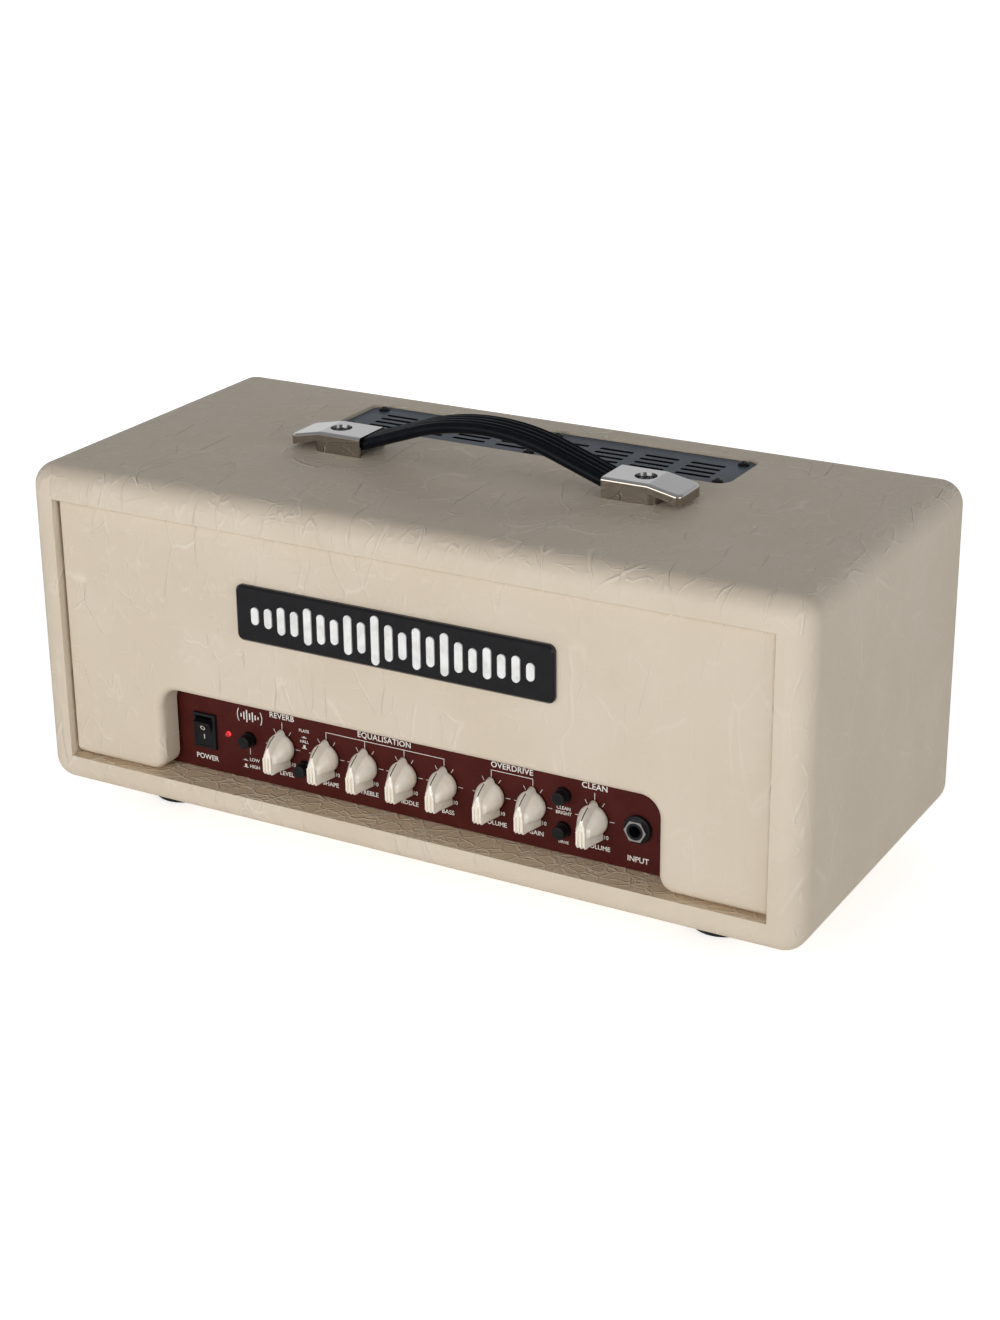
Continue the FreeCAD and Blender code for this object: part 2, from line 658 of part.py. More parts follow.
def handle_cap():
    """A pressed cap: a skirt round the strap's end, under a rim that runs on down to the tip."""
    def upper(edge):
        bounds = edge.BoundBox
        return bounds.ZMin > number(f"{TOP} + 1") and bounds.XMax > number("cap_inner + 1")

    rolled = round_edges(cap_shell("cap", "0"), "cap_roll", upper)
    under_rim = new_body("under_rim")
    made = sketch(under_rim, "XZ_Plane", "-(handle_y)")
    outline(made, [("skirt_turn", f"{TOP} - 1"), ("cap_tip + 1", f"{TOP} - 1"),
                   ("cap_tip + 1", f"{TOP} + cap_low - cap_rim - 2"),
                   ("skirt_turn", f"{TOP} + cap_high - cap_rim")])
    pad(under_rim, made, "2*cap_width", midplane=True)
    rim = cut(rolled, cap_shell("hollow", "cap_wall"), under_rim)

    corner = "skirt_end - skirt_turn"
    skirt = cut(cap_plan("skirt", "0", "skirt_end", corner, "cap_high - cap_wall*1.6"),
                cap_plan("skirt_room", "cap_wall", "skirt_end", corner, "2*cap_high"))
    centre = ("handle_screw_x", "handle_y")
    boss = rod((*centre, f"{TOP} + dimple_floor - cap_wall"), "Z", "dimple_high + cap_wall",
               "cap_high - dimple_floor + cap_wall/2")
    dimple = cone((*centre, f"{TOP} + dimple_floor"), "Z", "dimple_low", "dimple_high",
                  "cap_high - dimple_floor")
    return cut(fuse(rim, skirt, boss), dimple, rod((*centre, TOP), "Z", "handle_hole", "20"))


def handle():
    strap = arch_sweep("strap_sweep", "strap_width", "strap_thick", "strap_end", "strap_round")
    core = arch_sweep("core_sweep", "core_width", "core_thick", "core_end")
    room = arch_sweep("core_room", "core_width", "core_thick", "core_end")
    reliefs = [box(limits, both("cab_depth"), (TOP, f"{TOP} + strap_relief"))
               for limits in (("-strap_end - 1", "-cap_inner - 1"), ("cap_inner + 1", "strap_end + 1"))]
    slots = [box((f"{side}handle_screw_x - core_slot", f"{side}handle_screw_x + core_slot"),
                 ("handle_y - handle_hole - 0.3", "handle_y + handle_hole + 0.3"),
                 (TOP, f"{TOP} + 20")) for side in ("-", "")]
    keep(cut(strap, room, *reliefs), "handle_strap")
    keep(cut(core, *slots), "handle_core")

    cap = handle_cap()
    keep(group([cap, mirror_x(cap)]), "handle_caps")

    screw = screw_master("handle_screw", "4.4", "2.6", "handle_screw", "24")
    spots = [((f"{side}handle_screw_x", "handle_y", f"{TOP} + dimple_floor"), "Z")
             for side in ("-", "")]
    keep(group(copies(screw, spots)), "handle_screws")
    nuts = []
    for side in ("-", ""):
        seat = (f"{side}handle_screw_x", "handle_y", f"{CEILING} + skin - tee_thick")
        flange = rod(seat, "Z", "tee_flange", "tee_thick")
        barrel = rod(seat, "Z", "tee_barrel", "tee_long")
        nuts.append(cut(fuse(flange, barrel), rod(seat, "Z", "handle_screw + 0.05", "30")))
    keep(group(nuts), "handle_tee_nuts")


# ---- feet ----

def feet():
    foot = new_body("foot")
    bore = "screw_shank + 0.6"
    revolve(foot, [("foot_bore", "0"), ("foot_base", "0"), ("foot_crown", "3"),
                   ("foot_crown", "foot_height"), (bore, "foot_height"), (bore, "foot_seat"),
                   ("foot_bore", "foot_seat")])
    spots = corner_spots("foot_x", "foot_y")
    keep(group(copies(foot, [((x, y, "0"), "Z") for x, y in spots])), "rubber_feet")
    screw = screw_master("foot_screw", "3.9", "2.4", "screw_shank", "17")
    keep(group(copies(screw, [((x, y, "foot_seat"), "-Z") for x, y in spots])), "feet_screws")


# ---- chassis, lid and control panel ----

def front_holes(made):
    """The openings that the front controls pass through."""
    for x in KNOBS.values():
        circle(made, str(x), above("knob_z"), "bush_radius + 0.1")
    for x, z in BUTTONS.values():
        circle(made, str(x), above(str(z)), "button_flange + button_play")
    rectangle(made, ("rocker_x - bezel_width/2 + 1", "rocker_x + bezel_width/2 - 1"),
              (above("rocker_z - bezel_high/2 + 1"), above("rocker_z + bezel_high/2 - 1")))
    circle(made, "led_x", above("led_z"), "led_radius + 0.1")
    circle(made, "jack_x", above("jack_z"), "jack_barrel + 0.1")


def steel_tray():
    """The folded tray, open at the top, with the openings of its front, rear and floor."""
    tray = new_body("tray")
    made = sketch(tray, "XY_Plane", FLOOR)
    rectangle(made, both("chassis_half"), (STEEL_FRONT, "chassis_back"), "2.5")
    pad(tray, made, "chassis_high")
    inside = sketch(tray, "XY_Plane", TRAY_FLOOR)
    rectangle(inside, both("chassis_half - sheet_thick"),
              (STEEL_INNER, "chassis_back - sheet_thick"), "2.5 - sheet_thick")
    pocket(tray, inside, "chassis_high", reverse=True)
    front = sketch(tray, "XZ_Plane", f"-({STEEL_INNER} + 1)")
    front_holes(front)
    pocket(tray, front, "sheet_thick + 2", reverse=True)
    rear = sketch(tray, "XZ_Plane", "-(chassis_back + 1)")
    for x in REAR_JACKS_X:
        circle(rear, str(x), above("jack_z"), "jack_barrel + 0.1")
    rectangle(rear, ("inlet_x - 14", "inlet_x + 14"), (above("inlet_z - 17"), above("inlet_z + 13")))
    for side in "-+":
        circle(rear, f"inlet_x {side} inlet_screw", above("inlet_z"), "screw_shank + 0.1")
    pocket(tray, rear, "sheet_thick + 2", reverse=True)
    low = sketch(tray, "XY_Plane", f"{FLOOR} - 1")
    for x, y in corner_spots("bolt_x", "bolt_y"):
        circle(low, x, y, "bolt_hole")
    pocket(tray, low, "sheet_thick + 2", reverse=True)
    return tray


def steel_lid(side_face):
    """The lid with its two side flanges and two rows of vent slots."""
    lid = new_body("lid")
    made = sketch(lid, "XY_Plane", LID)
    rectangle(made, both(side_face), (STEEL_FRONT, "chassis_back"))
    pad(lid, made, "sheet_thick")
    for side in "-+":
        flange = sketch(lid, "XY_Plane", f"{LID} - 10")
        edges = sorted((f"{side}(chassis_half + lid_play)", f"{side}({side_face})"), key=number)
        rectangle(flange, edges, (STEEL_FRONT, "chassis_back"))
        pad(lid, flange, "10")
    vents = sketch(lid, "XY_Plane", LID)
    for row_y in (40, 66):
        rectangle(vents, ("-92", "-88"), (str(row_y - 10), str(row_y + 10)), "1.9")
    cuts = pocket(lid, vents, "sheet_thick + 1", reverse=True)
    repeat(lid, vents, cuts, "180", 16)
    return lid


def chassis():
    side_face = "chassis_half + sheet_thick + lid_play"
    tray = steel_tray()
    lid = steel_lid(side_face)
    spots = [(f"{side}({side_face})", y, f"{LID} - 5") for side in "-+" for y in ("-60", "0", "60")]
    screw_holes = [rod((f"{x} - 6", y, z), "X", "1.25", "12") for x, y, z in spots]
    keep(cut(lid, *screw_holes), "chassis_lid")
    keep(cut(tray, *screw_holes), "chassis_tray")
    screw = screw_master("machine_screw", "2.8", "1.9", "1.2", "6")
    places = [((x, y, z), "-X" if x.startswith("-") else "X") for x, y, z in spots]
    places += [((f"inlet_x {side} inlet_screw", "chassis_back + 3", above("inlet_z")), "Y")
               for side in "-+"]
    keep(group(copies(screw, places)), "chassis_screws")

    bolts = []
    bolt = screw_master("chassis_bolt", "5", "3", "bolt_shank", "wall + sheet_thick + 6")
    for x, y in corner_spots("bolt_x", "bolt_y"):
        bolts += copies(bolt, [((x, y, "foot_height"), "-Z")])
        seat = (x, y, TRAY_FLOOR)
        bolts.append(cut(hexagon(seat, "Z", "8", "4"), rod(seat, "Z", "bolt_shank + 0.05", "6")))
    keep(group(bolts), "chassis_bolts")

    panel = new_body("panel")
    made = sketch(panel, "XZ_Plane", f"-({STEEL_FRONT})")
    rectangle(made, both("panel_half"), (above("panel_low"), above("panel_top")))
    front_holes(made)
    pad(panel, made, "panel_thick")
    keep(panel, "control_panel")


# ---- knobs, shafts and potentiometers ----

def knob(name, x):
    """A pointer knob: a round skirt under a bar that narrows to the tip and is blunt at the tail."""
    back = f"{PANEL} - knob_gap"
    centre = (str(x), back, above("knob_z"))
    skirt = new_body(f"skirt_{name}")
    revolve(skirt, [("0", "0"), ("knob_radius*0.98", "0"), ("knob_radius", "1.2"),
                    ("knob_radius*0.98", "2.6"), ("knob_radius*0.92", "4.2"),
                    ("knob_radius*0.73", "8.2"), ("knob_radius*0.52", "12.2"),
                    ("knob_radius*0.2", "14"), ("0", "14.2")])
    place(skirt, centre, "-Y")
    plan = new_body(f"plan_{name}")
    made = sketch(plan, "XZ_Plane")
    half_plan = [("4.2", "-6"), ("3.8", "-2"), ("2.5", "3.5"), ("0.5", "knob_tip")]
    tail = [("3.4", "-knob_tail"), ("4.2", "-knob_tail + 1")]
    right = tail + half_plan
    outline(made, [(f"-{x}", z) for x, z in reversed(right)] + right)
    pad(plan, made, "knob_high")
    place(plan, centre)
    side = new_body(f"side_{name}")
    made = sketch(side, "YZ_Plane")
    outline(made, [("0", "-knob_tail"), ("0", "knob_tip"), ("-1.4", "knob_tip"), ("-8", "9.1"),
                   ("-12.3", "6.5"), ("-knob_high + 0.7", "3.2"), ("-knob_high", "-1"),
                   ("-knob_high", "-knob_tail + 2.6"), ("-knob_high + 0.8", "-knob_tail + 0.8"),
                   ("-knob_high + 2.6", "-knob_tail")])
    pad(side, made, "4*knob_radius", midplane=True)
    place(side, centre)
    solid = fuse(skirt, common(plan, side))
    room = rod((str(x), f"{back} + 1", above("knob_z")), "-Y", "knob_room", "5.2")
    bore = rod(centre, "-Y", "shaft_radius", "shaft_front - knob_gap + 0.2")
    keep(cut(solid, room, bore), f"knob_{name}")
    shaft = rod((str(x), f"{STEEL_INNER} + shaft_back", above("knob_z")), "-Y", "shaft_radius",
                "shaft_front + shaft_back + panel_thick + sheet_thick")
    flat_cut = box((f"{x} + shaft_radius*0.53", f"{x} + 5"),
                   (f"{PANEL} - shaft_front", f"{PANEL} - 5"),
                   (above("knob_z - 5"), above("knob_z + 5")))
    keep(cut(shaft, flat_cut), f"shaft_{name}")


def potentiometers():
    cans, nuts = [], []
    for x in KNOBS.values():
        x = str(x)
        z = above("knob_z")
        can = rod((x, f"{STEEL_INNER} + pot_deep", z), "-Y", "pot_radius", "pot_deep")
        bush = rod((x, STEEL_INNER, z), "-Y", "bush_radius", "panel_thick + sheet_thick + bush_out")
        legs = box((f"{x} - 6", f"{x} + 6"), (f"{STEEL_INNER} + 2", f"{STEEL_INNER} + 3.2"),
                   (f"{z} - pot_radius - 2.2", f"{z} - 5"))
        bore = rod((x, f"{STEEL_INNER} + shaft_back + 0.5", z), "-Y", "shaft_radius + shaft_play", "20")
        cans.append(cut(fuse(can, bush, legs), bore))
        nuts.append(cut(hexagon((x, PANEL, z), "-Y", "10", "2"),
                        rod((x, PANEL, z), "-Y", "bush_radius + 0.05", "3")))
    keep(group(cans), "potentiometer_bodies")
    keep(group(nuts), "potentiometer_nuts")


# ---- push buttons ----

def buttons():
    switches = []
    for name, (x, z) in BUTTONS.items():
        x, z = str(x), above(str(z))
        cap = rod((x, f"{PANEL} - button_step", z), "-Y", "button_radius", "button_out - button_step")
        crown = round_edges(cap, "0.5", at_level("Y", f"{PANEL} - button_out"))
        flange = rod((x, STEEL_INNER, z), "-Y", "button_flange", "panel_thick + sheet_thick + button_step")
        stem = box((f"{x} - 1.5", f"{x} + 1.5"), (STEEL_INNER, f"{STEEL_INNER} + 12"),
                   (f"{z} - 1.5", f"{z} + 1.5"))
        keep(fuse(crown, flange, stem), f"button_{name}")
        switch = box((f"{x} - switch_half", f"{x} + switch_half"),
                     (f"{STEEL_INNER} + 6", f"{STEEL_INNER} + 20"),
                     (f"{z} - switch_half", f"{z} + switch_half"))
        hole = box((f"{x} - 1.7", f"{x} + 1.7"), (f"{STEEL_INNER} + 5", f"{STEEL_INNER} + 17"),
                   (f"{z} - 1.7", f"{z} + 1.7"))
        switches.append(cut(switch, hole))
    keep(group(switches), "push_switch_bodies")


# ---- rocker switch and lamp ----

def rocker_switch():
    x, z = "rocker_x", above("rocker_z")
    wide, high = "bezel_width/2", "bezel_high/2"
    slab = box((f"{x} - {wide}", f"{x} + {wide}"), (f"{PANEL} - bezel_out", PANEL),
               (f"{z} - {high}", f"{z} + {high}"))
    bezel = round_edges(slab, "0.8", at_level("Y", f"{PANEL} - bezel_out"))
    case = box((f"{x} - {wide} + 1.1", f"{x} + {wide} - 1.1"), (PANEL, f"{PANEL} + 18"),
               (f"{z} - {high} + 1.1", f"{z} + {high} - 1.1"))
    cavity = box((f"{x} - rocker_width/2 - rocker_wall", f"{x} + rocker_width/2 + rocker_wall"),
                 (f"{PANEL} - 5", f"{PANEL} + 10"), (f"{z} - 9", f"{z} + 9"))
    pivot = rod((f"{x} - {wide}", f"{PANEL} + rocker_axle", z), "X", "1.25", "bezel_width")
    pins = [box((f"{x} + {side} - 0.4", f"{x} + {side} + 0.4"), (f"{PANEL} + 18", f"{PANEL} + 26"),
                (f"{z} - 2.4", f"{z} + 2.4")) for side in ("(-3)", "3")]
    keep(cut(fuse(bezel, case, *pins), cavity, pivot), "power_switch_housing")

    rocker = new_body("rocker")
    made = sketch(rocker, "YZ_Plane")
    outline(made, [("3.4", "-4"), ("3.4", "4"), ("-2", "rocker_half"), ("-6.5", "rocker_half"),
                   ("-5", "0"), ("-6.5", "-rocker_half"), ("-2", "-rocker_half")])
    pad(rocker, made, "rocker_width", midplane=True)
    axle = sketch(rocker, "YZ_Plane")
    circle(axle, "0", "0", "1.2")
    pad(rocker, axle, "bezel_width - 2.4", midplane=True)
    place(rocker, (x, f"{PANEL} + rocker_axle", z))
    rocker.Placement = FreeCAD.Placement(
        rocker.Placement.Base, FreeCAD.Rotation(FreeCAD.Vector(1, 0, 0), 11))
    keep(rocker, "power_switch_rocker")

    lamp = new_body("lamp")
    revolve(lamp, [("0", "-4"), ("led_radius", "-4"), ("led_radius", "1"),
                   ("led_radius*0.86", "1.7"), ("led_radius*0.5", "2.2"), ("0", "2.4")])
    place(lamp, ("led_x", PANEL, above("led_z")), "-Y")
    keep(lamp, "power_led")


# ---- jacks, mains inlet and fuse drawer ----

def jacks():
    bodies, nuts, collars = [], [], []
    front = [("jack_x", PANEL, STEEL_INNER, "-Y", 1)]
    rear = [(str(x), "chassis_back", "chassis_back - sheet_thick", "Y", -1) for x in REAR_JACKS_X]
    for x, face, inner, turn, inward in front + rear:
        z = above("jack_z")
        mouth = f"{face} - ({inward})*jack_out"
        end = f"{mouth} + ({inward})*(jack_deep + 2)"
        limits = sorted((inner, end), key=number)
        shell = box((f"{x} - 8", f"{x} + 8"), limits, (f"{z} - 9", f"{z} + 9"))
        back_turn = "Y" if turn == "-Y" else "-Y"
        barrel = rod((x, mouth, z), back_turn, "jack_barrel", "jack_out + 5")
        bore = rod((x, mouth, z), back_turn, "jack_bore", "jack_deep")
        bodies.append(cut(fuse(shell, barrel), bore))
        ring = rod((x, face, z), turn, "collar_radius", "collar_thick")
        edge = round_edges(ring, "0.7", at_level("Y", f"{face} - ({inward})*collar_thick"))
        collars.append(cut(edge, rod((x, face, z), turn, "jack_barrel + 0.05", "5")))
        seat = f"{face} - ({inward})*collar_thick"
        nut = hexagon((x, seat, z), turn, "nut_flats", "nut_thick")
        nuts.append(cut(nut, rod((x, seat, z), turn, "jack_barrel + 0.05", "5")))
    keep(group(bodies), "jack_bodies")
    keep(group(nuts), "jack_nuts")
    keep(group(collars), "jack_collars")


def mains_inlet():
    x, z, y = "inlet_x", above("inlet_z"), "chassis_back"
    flange_body = new_body("inlet_flange")
    made = sketch(flange_body, "XZ_Plane", "-(chassis_back)")
    rectangle(made, ("inlet_x - 25", "inlet_x + 25"),
              (above("inlet_z - 19"), above("inlet_z + 15")), "5")
    for side in "-+":
        circle(made, f"inlet_x {side} inlet_screw", above("inlet_z"), "screw_shank + 0.1")
    pad(flange_body, made, "3", reverse=True)
    shell = box((f"{x} - 13.5", f"{x} + 13.5"), (f"{y} - 24", y), (f"{z} - 16.5", f"{z} + 12.5"))
    socket = box((f"{x} - 12.2", f"{x} + 12.2"), (f"{y} - 15", f"{y} + 5"),
                 (f"{z} - 5", f"{z} + 11"))
    drawer_room = box((f"{x} - 11.2", f"{x} + 11.2"), (f"{y} - 21", f"{y} + 5"),
                      (f"{z} - 15", f"{z} - 6.5"))
    blades = [box((f"{x} + ({dx}) - 1", f"{x} + ({dx}) + 1"), (f"{y} - 32", f"{y} + 1"),
                  (f"{z} + {dz} - 2", f"{z} + {dz} + 2"))
              for dx, dz in ((-7, 1), (7, 1), (0, 6))]
    keep(fuse(cut(fuse(flange_body, shell), socket, drawer_room), *blades), "mains_inlet")
    drawer = box((f"{x} - 11", f"{x} + 11"), (f"{y} - 20", f"{y} + 2.6"),
                 (f"{z} - 14.8", f"{z} - 6.7"))
    lip = box((f"{x} - 4", f"{x} + 4"), (f"{y} + 2.6", f"{y} + 4"), (f"{z} - 14.8", f"{z} - 12.6"))
    seat = rod((f"{x} - 10.2", f"{y} - 12", f"{z} - 9.6"), "X", "2.65", "20.4")
    way_in = box((f"{x} - 10.2", f"{x} + 10.2"), (f"{y} - 14.65", f"{y} - 9.35"),
                 (f"{z} - 9.6", f"{z} - 6"))
    fuse_link = rod((f"{x} - 10", f"{y} - 12", f"{z} - 9.6"), "X", "2.6", "20")
    keep(group([cut(fuse(drawer, lip), seat, way_in), fuse_link]), "fuse_drawer")


# ---- electronics ----

def circuit_board(x, y, z, parts):
    """A board on four posts, with its soldered parts as separate solids."""
    board = box(x, y, (z, f"{z} + 1.6"))
    posts = [rod((f"{px} {dx} 5", f"{py} {dy} 5", TRAY_FLOOR), "Z", "2.5", f"{z} - {TRAY_FLOOR}")
             for px, dx in ((x[0], "+"), (x[1], "-")) for py, dy in ((y[0], "+"), (y[1], "-"))]
    return [board] + posts + parts


def wire(route, height):
    """A wire that starts along Y, then runs level through the points of a route."""
    owner = new_body("wire")
    path = sketch(owner, "XY_Plane", height)
    for start, end in zip(route, route[1:]):
        line(path, start, end)
    section = sketch(owner, "XZ_Plane", f"-({route[0][1]})")
    circle(section, route[0][0], height, "1.3")
    sweep(owner, section, path, "Round corner")
    return owner


def heat_sink():
    sink = new_body("sink")
    made = sketch(sink, "YZ_Plane", "-150")
    rectangle(made, ("10", "60"), (f"{TRAY_FLOOR} + 2", f"{TRAY_FLOOR} + 46"))
    pad(sink, made, "70")
    fins = sketch(sink, "YZ_Plane", "-152")
    rectangle(fins, ("13", "17"), (f"{TRAY_FLOOR} + 10", f"{TRAY_FLOOR} + 50"))
    groove = pocket(sink, fins, "80", reverse=True)
    repeat(sink, fins, groove, "36", 7)
    rails = [box((x, f"{x} + 8"), ("10", "60"), (TRAY_FLOOR, f"{TRAY_FLOOR} + 2"))
             for x in ("-150", "-88")]
    keep(fuse(sink, *rails), "heat_sink")


def electronics():
    level = f"{TRAY_FLOOR} + 7"
    face = f"{level} + 1.6"
    chips = [box((str(x), str(x + 10)), ("-52", "-45"), (face, f"{face} + 3"))
             for x in range(-60, 100, 32)]
    cans = [rod((str(x), "-30", face), "Z", "4", "11") for x in range(-75, 110, 20)]
    relays = [box((str(x), str(x + 19)), ("-50", "-40"), (face, f"{face} + 9"))
              for x in (-100, 100)]
    keep(group(circuit_board(("-110", "125"), ("-58", "-20"), level, chips + cans + relays)),
         "preamp_board")

    core = fuse(box(("40", "100"), ("14", "52"), (face, f"{face} + 38")),
                box(("50", "90"), ("6", "60"), (f"{face} + 6", f"{face} + 32")))
    caps = [rod((x, "22", face), "Z", "11", "34") for x in ("-44", "-18", "8")]
    coils = [cut(rod((x, "48", face), "Z", "10", "12"), rod((x, "48", face), "Z", "4", "12"))
             for x in ("-40", "-12", "14")]
    keep(group(circuit_board(("-60", "112"), ("0", "66"), level, [core] + caps + coils)),
         "power_board")
    heat_sink()

    mains = [wire([(x, "60"), (x, y), ("100", y)], "62")
             for x, y in (("inlet_x - 7", "40"), ("inlet_x + 7", "30"))]
    pins = f"{PANEL} + 26"
    switch = [wire([(x, pins), (x, y), ("-68", y)], z)
              for x, y, z in (("rocker_x - 3", "-43", "58"), ("rocker_x + 3", "-37", "54"))]
    keep(group(mains + switch), "wiring_harness")


# ---- the whole amplifier ----

sleeve()
baffle()
rear_screw_places = rear_panel()
vent_plate()
vent_screw_places = [((x, y, f"{TOP} - vent_sink"), "Z") for x, y in vent_screw_spots()]
wood_screw = screw_master("panel_screw", "3.3", "1.9", "screw_shank", "16")
keep(group(copies(wood_screw, rear_screw_places + vent_screw_places)), "panel_screws")
badge()
handle()
feet()
chassis()
for knob_name, knob_x in KNOBS.items():
    knob(knob_name, knob_x)
potentiometers()
buttons()
rocker_switch()
jacks()
mains_inlet()
electronics()
doc.recompute()

for thing in doc.Objects:
    if {"Invalid", "Error"} & set(thing.State):
        raise RuntimeError(f"{thing.Label} failed: {thing.State}")
for part in sub_parts:
    if part.Shape.isNull() or not part.Shape.isValid() or not part.Shape.Solids:
        raise RuntimeError(f"{part.Label} has no valid solid")

os.makedirs("parts", exist_ok=True)
for part in sub_parts:
    part.Shape.exportStep(f"parts/{part.Label}.step")
print(len(sub_parts), "sub-parts written")
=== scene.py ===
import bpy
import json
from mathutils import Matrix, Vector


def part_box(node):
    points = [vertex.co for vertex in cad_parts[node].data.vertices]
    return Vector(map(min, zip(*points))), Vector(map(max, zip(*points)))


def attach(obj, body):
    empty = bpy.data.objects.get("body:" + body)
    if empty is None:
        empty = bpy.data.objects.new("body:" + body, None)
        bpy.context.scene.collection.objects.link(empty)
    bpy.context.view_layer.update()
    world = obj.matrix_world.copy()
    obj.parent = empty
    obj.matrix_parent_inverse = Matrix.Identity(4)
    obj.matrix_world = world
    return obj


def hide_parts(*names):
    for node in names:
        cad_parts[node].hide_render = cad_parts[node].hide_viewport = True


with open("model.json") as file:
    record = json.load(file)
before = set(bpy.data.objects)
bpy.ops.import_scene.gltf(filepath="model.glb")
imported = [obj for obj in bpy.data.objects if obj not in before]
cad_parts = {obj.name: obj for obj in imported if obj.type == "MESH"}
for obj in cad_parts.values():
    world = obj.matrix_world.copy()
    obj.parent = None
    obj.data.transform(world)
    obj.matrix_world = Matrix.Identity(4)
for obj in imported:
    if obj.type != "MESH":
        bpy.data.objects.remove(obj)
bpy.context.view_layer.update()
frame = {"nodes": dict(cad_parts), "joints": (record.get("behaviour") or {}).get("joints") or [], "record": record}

import json
import math

import bmesh
import bpy
from mathutils import Matrix, Vector
from mathutils.bvhtree import BVHTree

# A guitar amp head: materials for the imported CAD, moulded knobs, printed legends, a ribbed strap, a studio.

MM = 0.001
NODES = frame["nodes"]
PANEL_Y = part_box("control_panel")[0].y
KNOB_NAMES = [name[5:] for name in sorted(NODES) if name.startswith("knob_")]


def middle(node):
    """The centre of a CAD node's box."""
    low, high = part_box(node)
    return (low + high) / 2


# ---------------------------------------------------------------- materials

class Surface:
    """A principled material whose nodes are added one call at a time.

    The colour and roughness it starts with are its mean values, which its nodes then vary.
    """

    def __init__(self, name, color, roughness, metallic=0.0, **inputs):
        self.material = bpy.data.materials.new(name)
        self.material.use_nodes = True
        self.tree = self.material.node_tree
        self.shader = self.tree.nodes["Principled BSDF"]
        self.shader.inputs["Base Color"].default_value = (*color, 1)
        self.shader.inputs["Roughness"].default_value = roughness
        self.shader.inputs["Metallic"].default_value = metallic
        for key, value in inputs.items():
            self.shader.inputs[key.replace("_", " ")].default_value = value
        self.bumps = None

    def node(self, kind, options=None, **inputs):
        made = self.tree.nodes.new(kind)
        for key, value in (options or {}).items():
            setattr(made, key, value)
        for key, value in inputs.items():
            self.feed(made.inputs[key.replace("_", " ")], value)
        return made

    def feed(self, socket, value):
        if isinstance(value, bpy.types.NodeSocket):
            self.tree.links.new(value, socket)
        else:
            socket.default_value = value

    def set(self, name, value):
        self.feed(self.shader.inputs[name], value)

    def position(self, stretch=(1, 1, 1)):
        """Object coordinates in millimetres, stretched along each axis."""
        coords = self.node("ShaderNodeTexCoord")
        mapping = self.node("ShaderNodeMapping", Scale=[s / MM for s in stretch])
        self.feed(mapping.inputs["Vector"], coords.outputs["Object"])
        return mapping.outputs["Vector"]

    def noise(self, vector, size, detail=3.0, roughness=0.5, distortion=0.0):
        """A cloudy value from 0 to 1, whose patches are size millimetres across."""
        made = self.node("ShaderNodeTexNoise", Vector=vector, Scale=1.0 / size, Detail=detail,
                         Roughness=roughness, Distortion=distortion)
        return made.outputs["Fac"]

    def warp(self, vector, size, amount, detail=2.0):
        """Moves coordinates about by a noise field."""
        made = self.node("ShaderNodeTexNoise", Vector=vector, Scale=1.0 / size, Detail=detail)
        shift = self.node("ShaderNodeVectorMath", {"operation": "SUBTRACT"})
        self.feed(shift.inputs[0], made.outputs["Color"])
        shift.inputs[1].default_value = (0.5, 0.5, 0.5)
        moved = self.node("ShaderNodeVectorMath", {"operation": "MULTIPLY_ADD"})
        self.feed(moved.inputs[0], shift.outputs["Vector"])
        moved.inputs[1].default_value = (amount, amount, amount)
        self.feed(moved.inputs[2], vector)
        return moved.outputs["Vector"]

    def cracks(self, vector, size, width):
        """1 on the edges between cells, falling to 0 at a distance of width."""
        made = self.node("ShaderNodeTexVoronoi", {"feature": "DISTANCE_TO_EDGE"}, Vector=vector,
                         Scale=1.0 / size)
        return self.spread(made.outputs["Distance"], 0, width / size, 1, 0)

    def axes(self, vector):
        """The three numbers of a vector."""
        return list(self.node("ShaderNodeSeparateXYZ", Vector=vector).outputs)

    def spread(self, value, low, high, to_low=0.0, to_high=1.0):
        """Eases a value from to_low at low to to_high at high."""
        made = self.node("ShaderNodeMapRange", {"interpolation_type": "SMOOTHSTEP"}, Value=value)
        made.inputs["From Min"].default_value = low
        made.inputs["From Max"].default_value = high
        made.inputs["To Min"].default_value = to_low
        made.inputs["To Max"].default_value = to_high
        return made.outputs["Result"]

    def math(self, operation, first, second=0.0, third=0.0):
        made = self.node("ShaderNodeMath", {"operation": operation})
        for socket, value in zip(made.inputs, (first, second, third)):
            self.feed(socket, value)
        return made.outputs["Value"]

    def mix(self, factor, first, second):
        made = self.node("ShaderNodeMix", {"data_type": "RGBA"})
        for socket, value in zip((made.inputs[0], made.inputs[6], made.inputs[7]), (factor, first, second)):
            if isinstance(value, tuple):
                value = (*value, 1) if len(value) == 3 else value
            self.feed(socket, value)
        return made.outputs[2]

    def relief(self, height, depth, strength=1.0):
        """Adds a bump of a given depth in millimetres over the bumps before it."""
        made = self.node("ShaderNodeBump", Height=height, Distance=depth * MM, Strength=strength)
        if self.bumps is not None:
            self.feed(made.inputs["Normal"], self.bumps)
        self.bumps = made.outputs["Normal"]
        self.set("Normal", self.bumps)


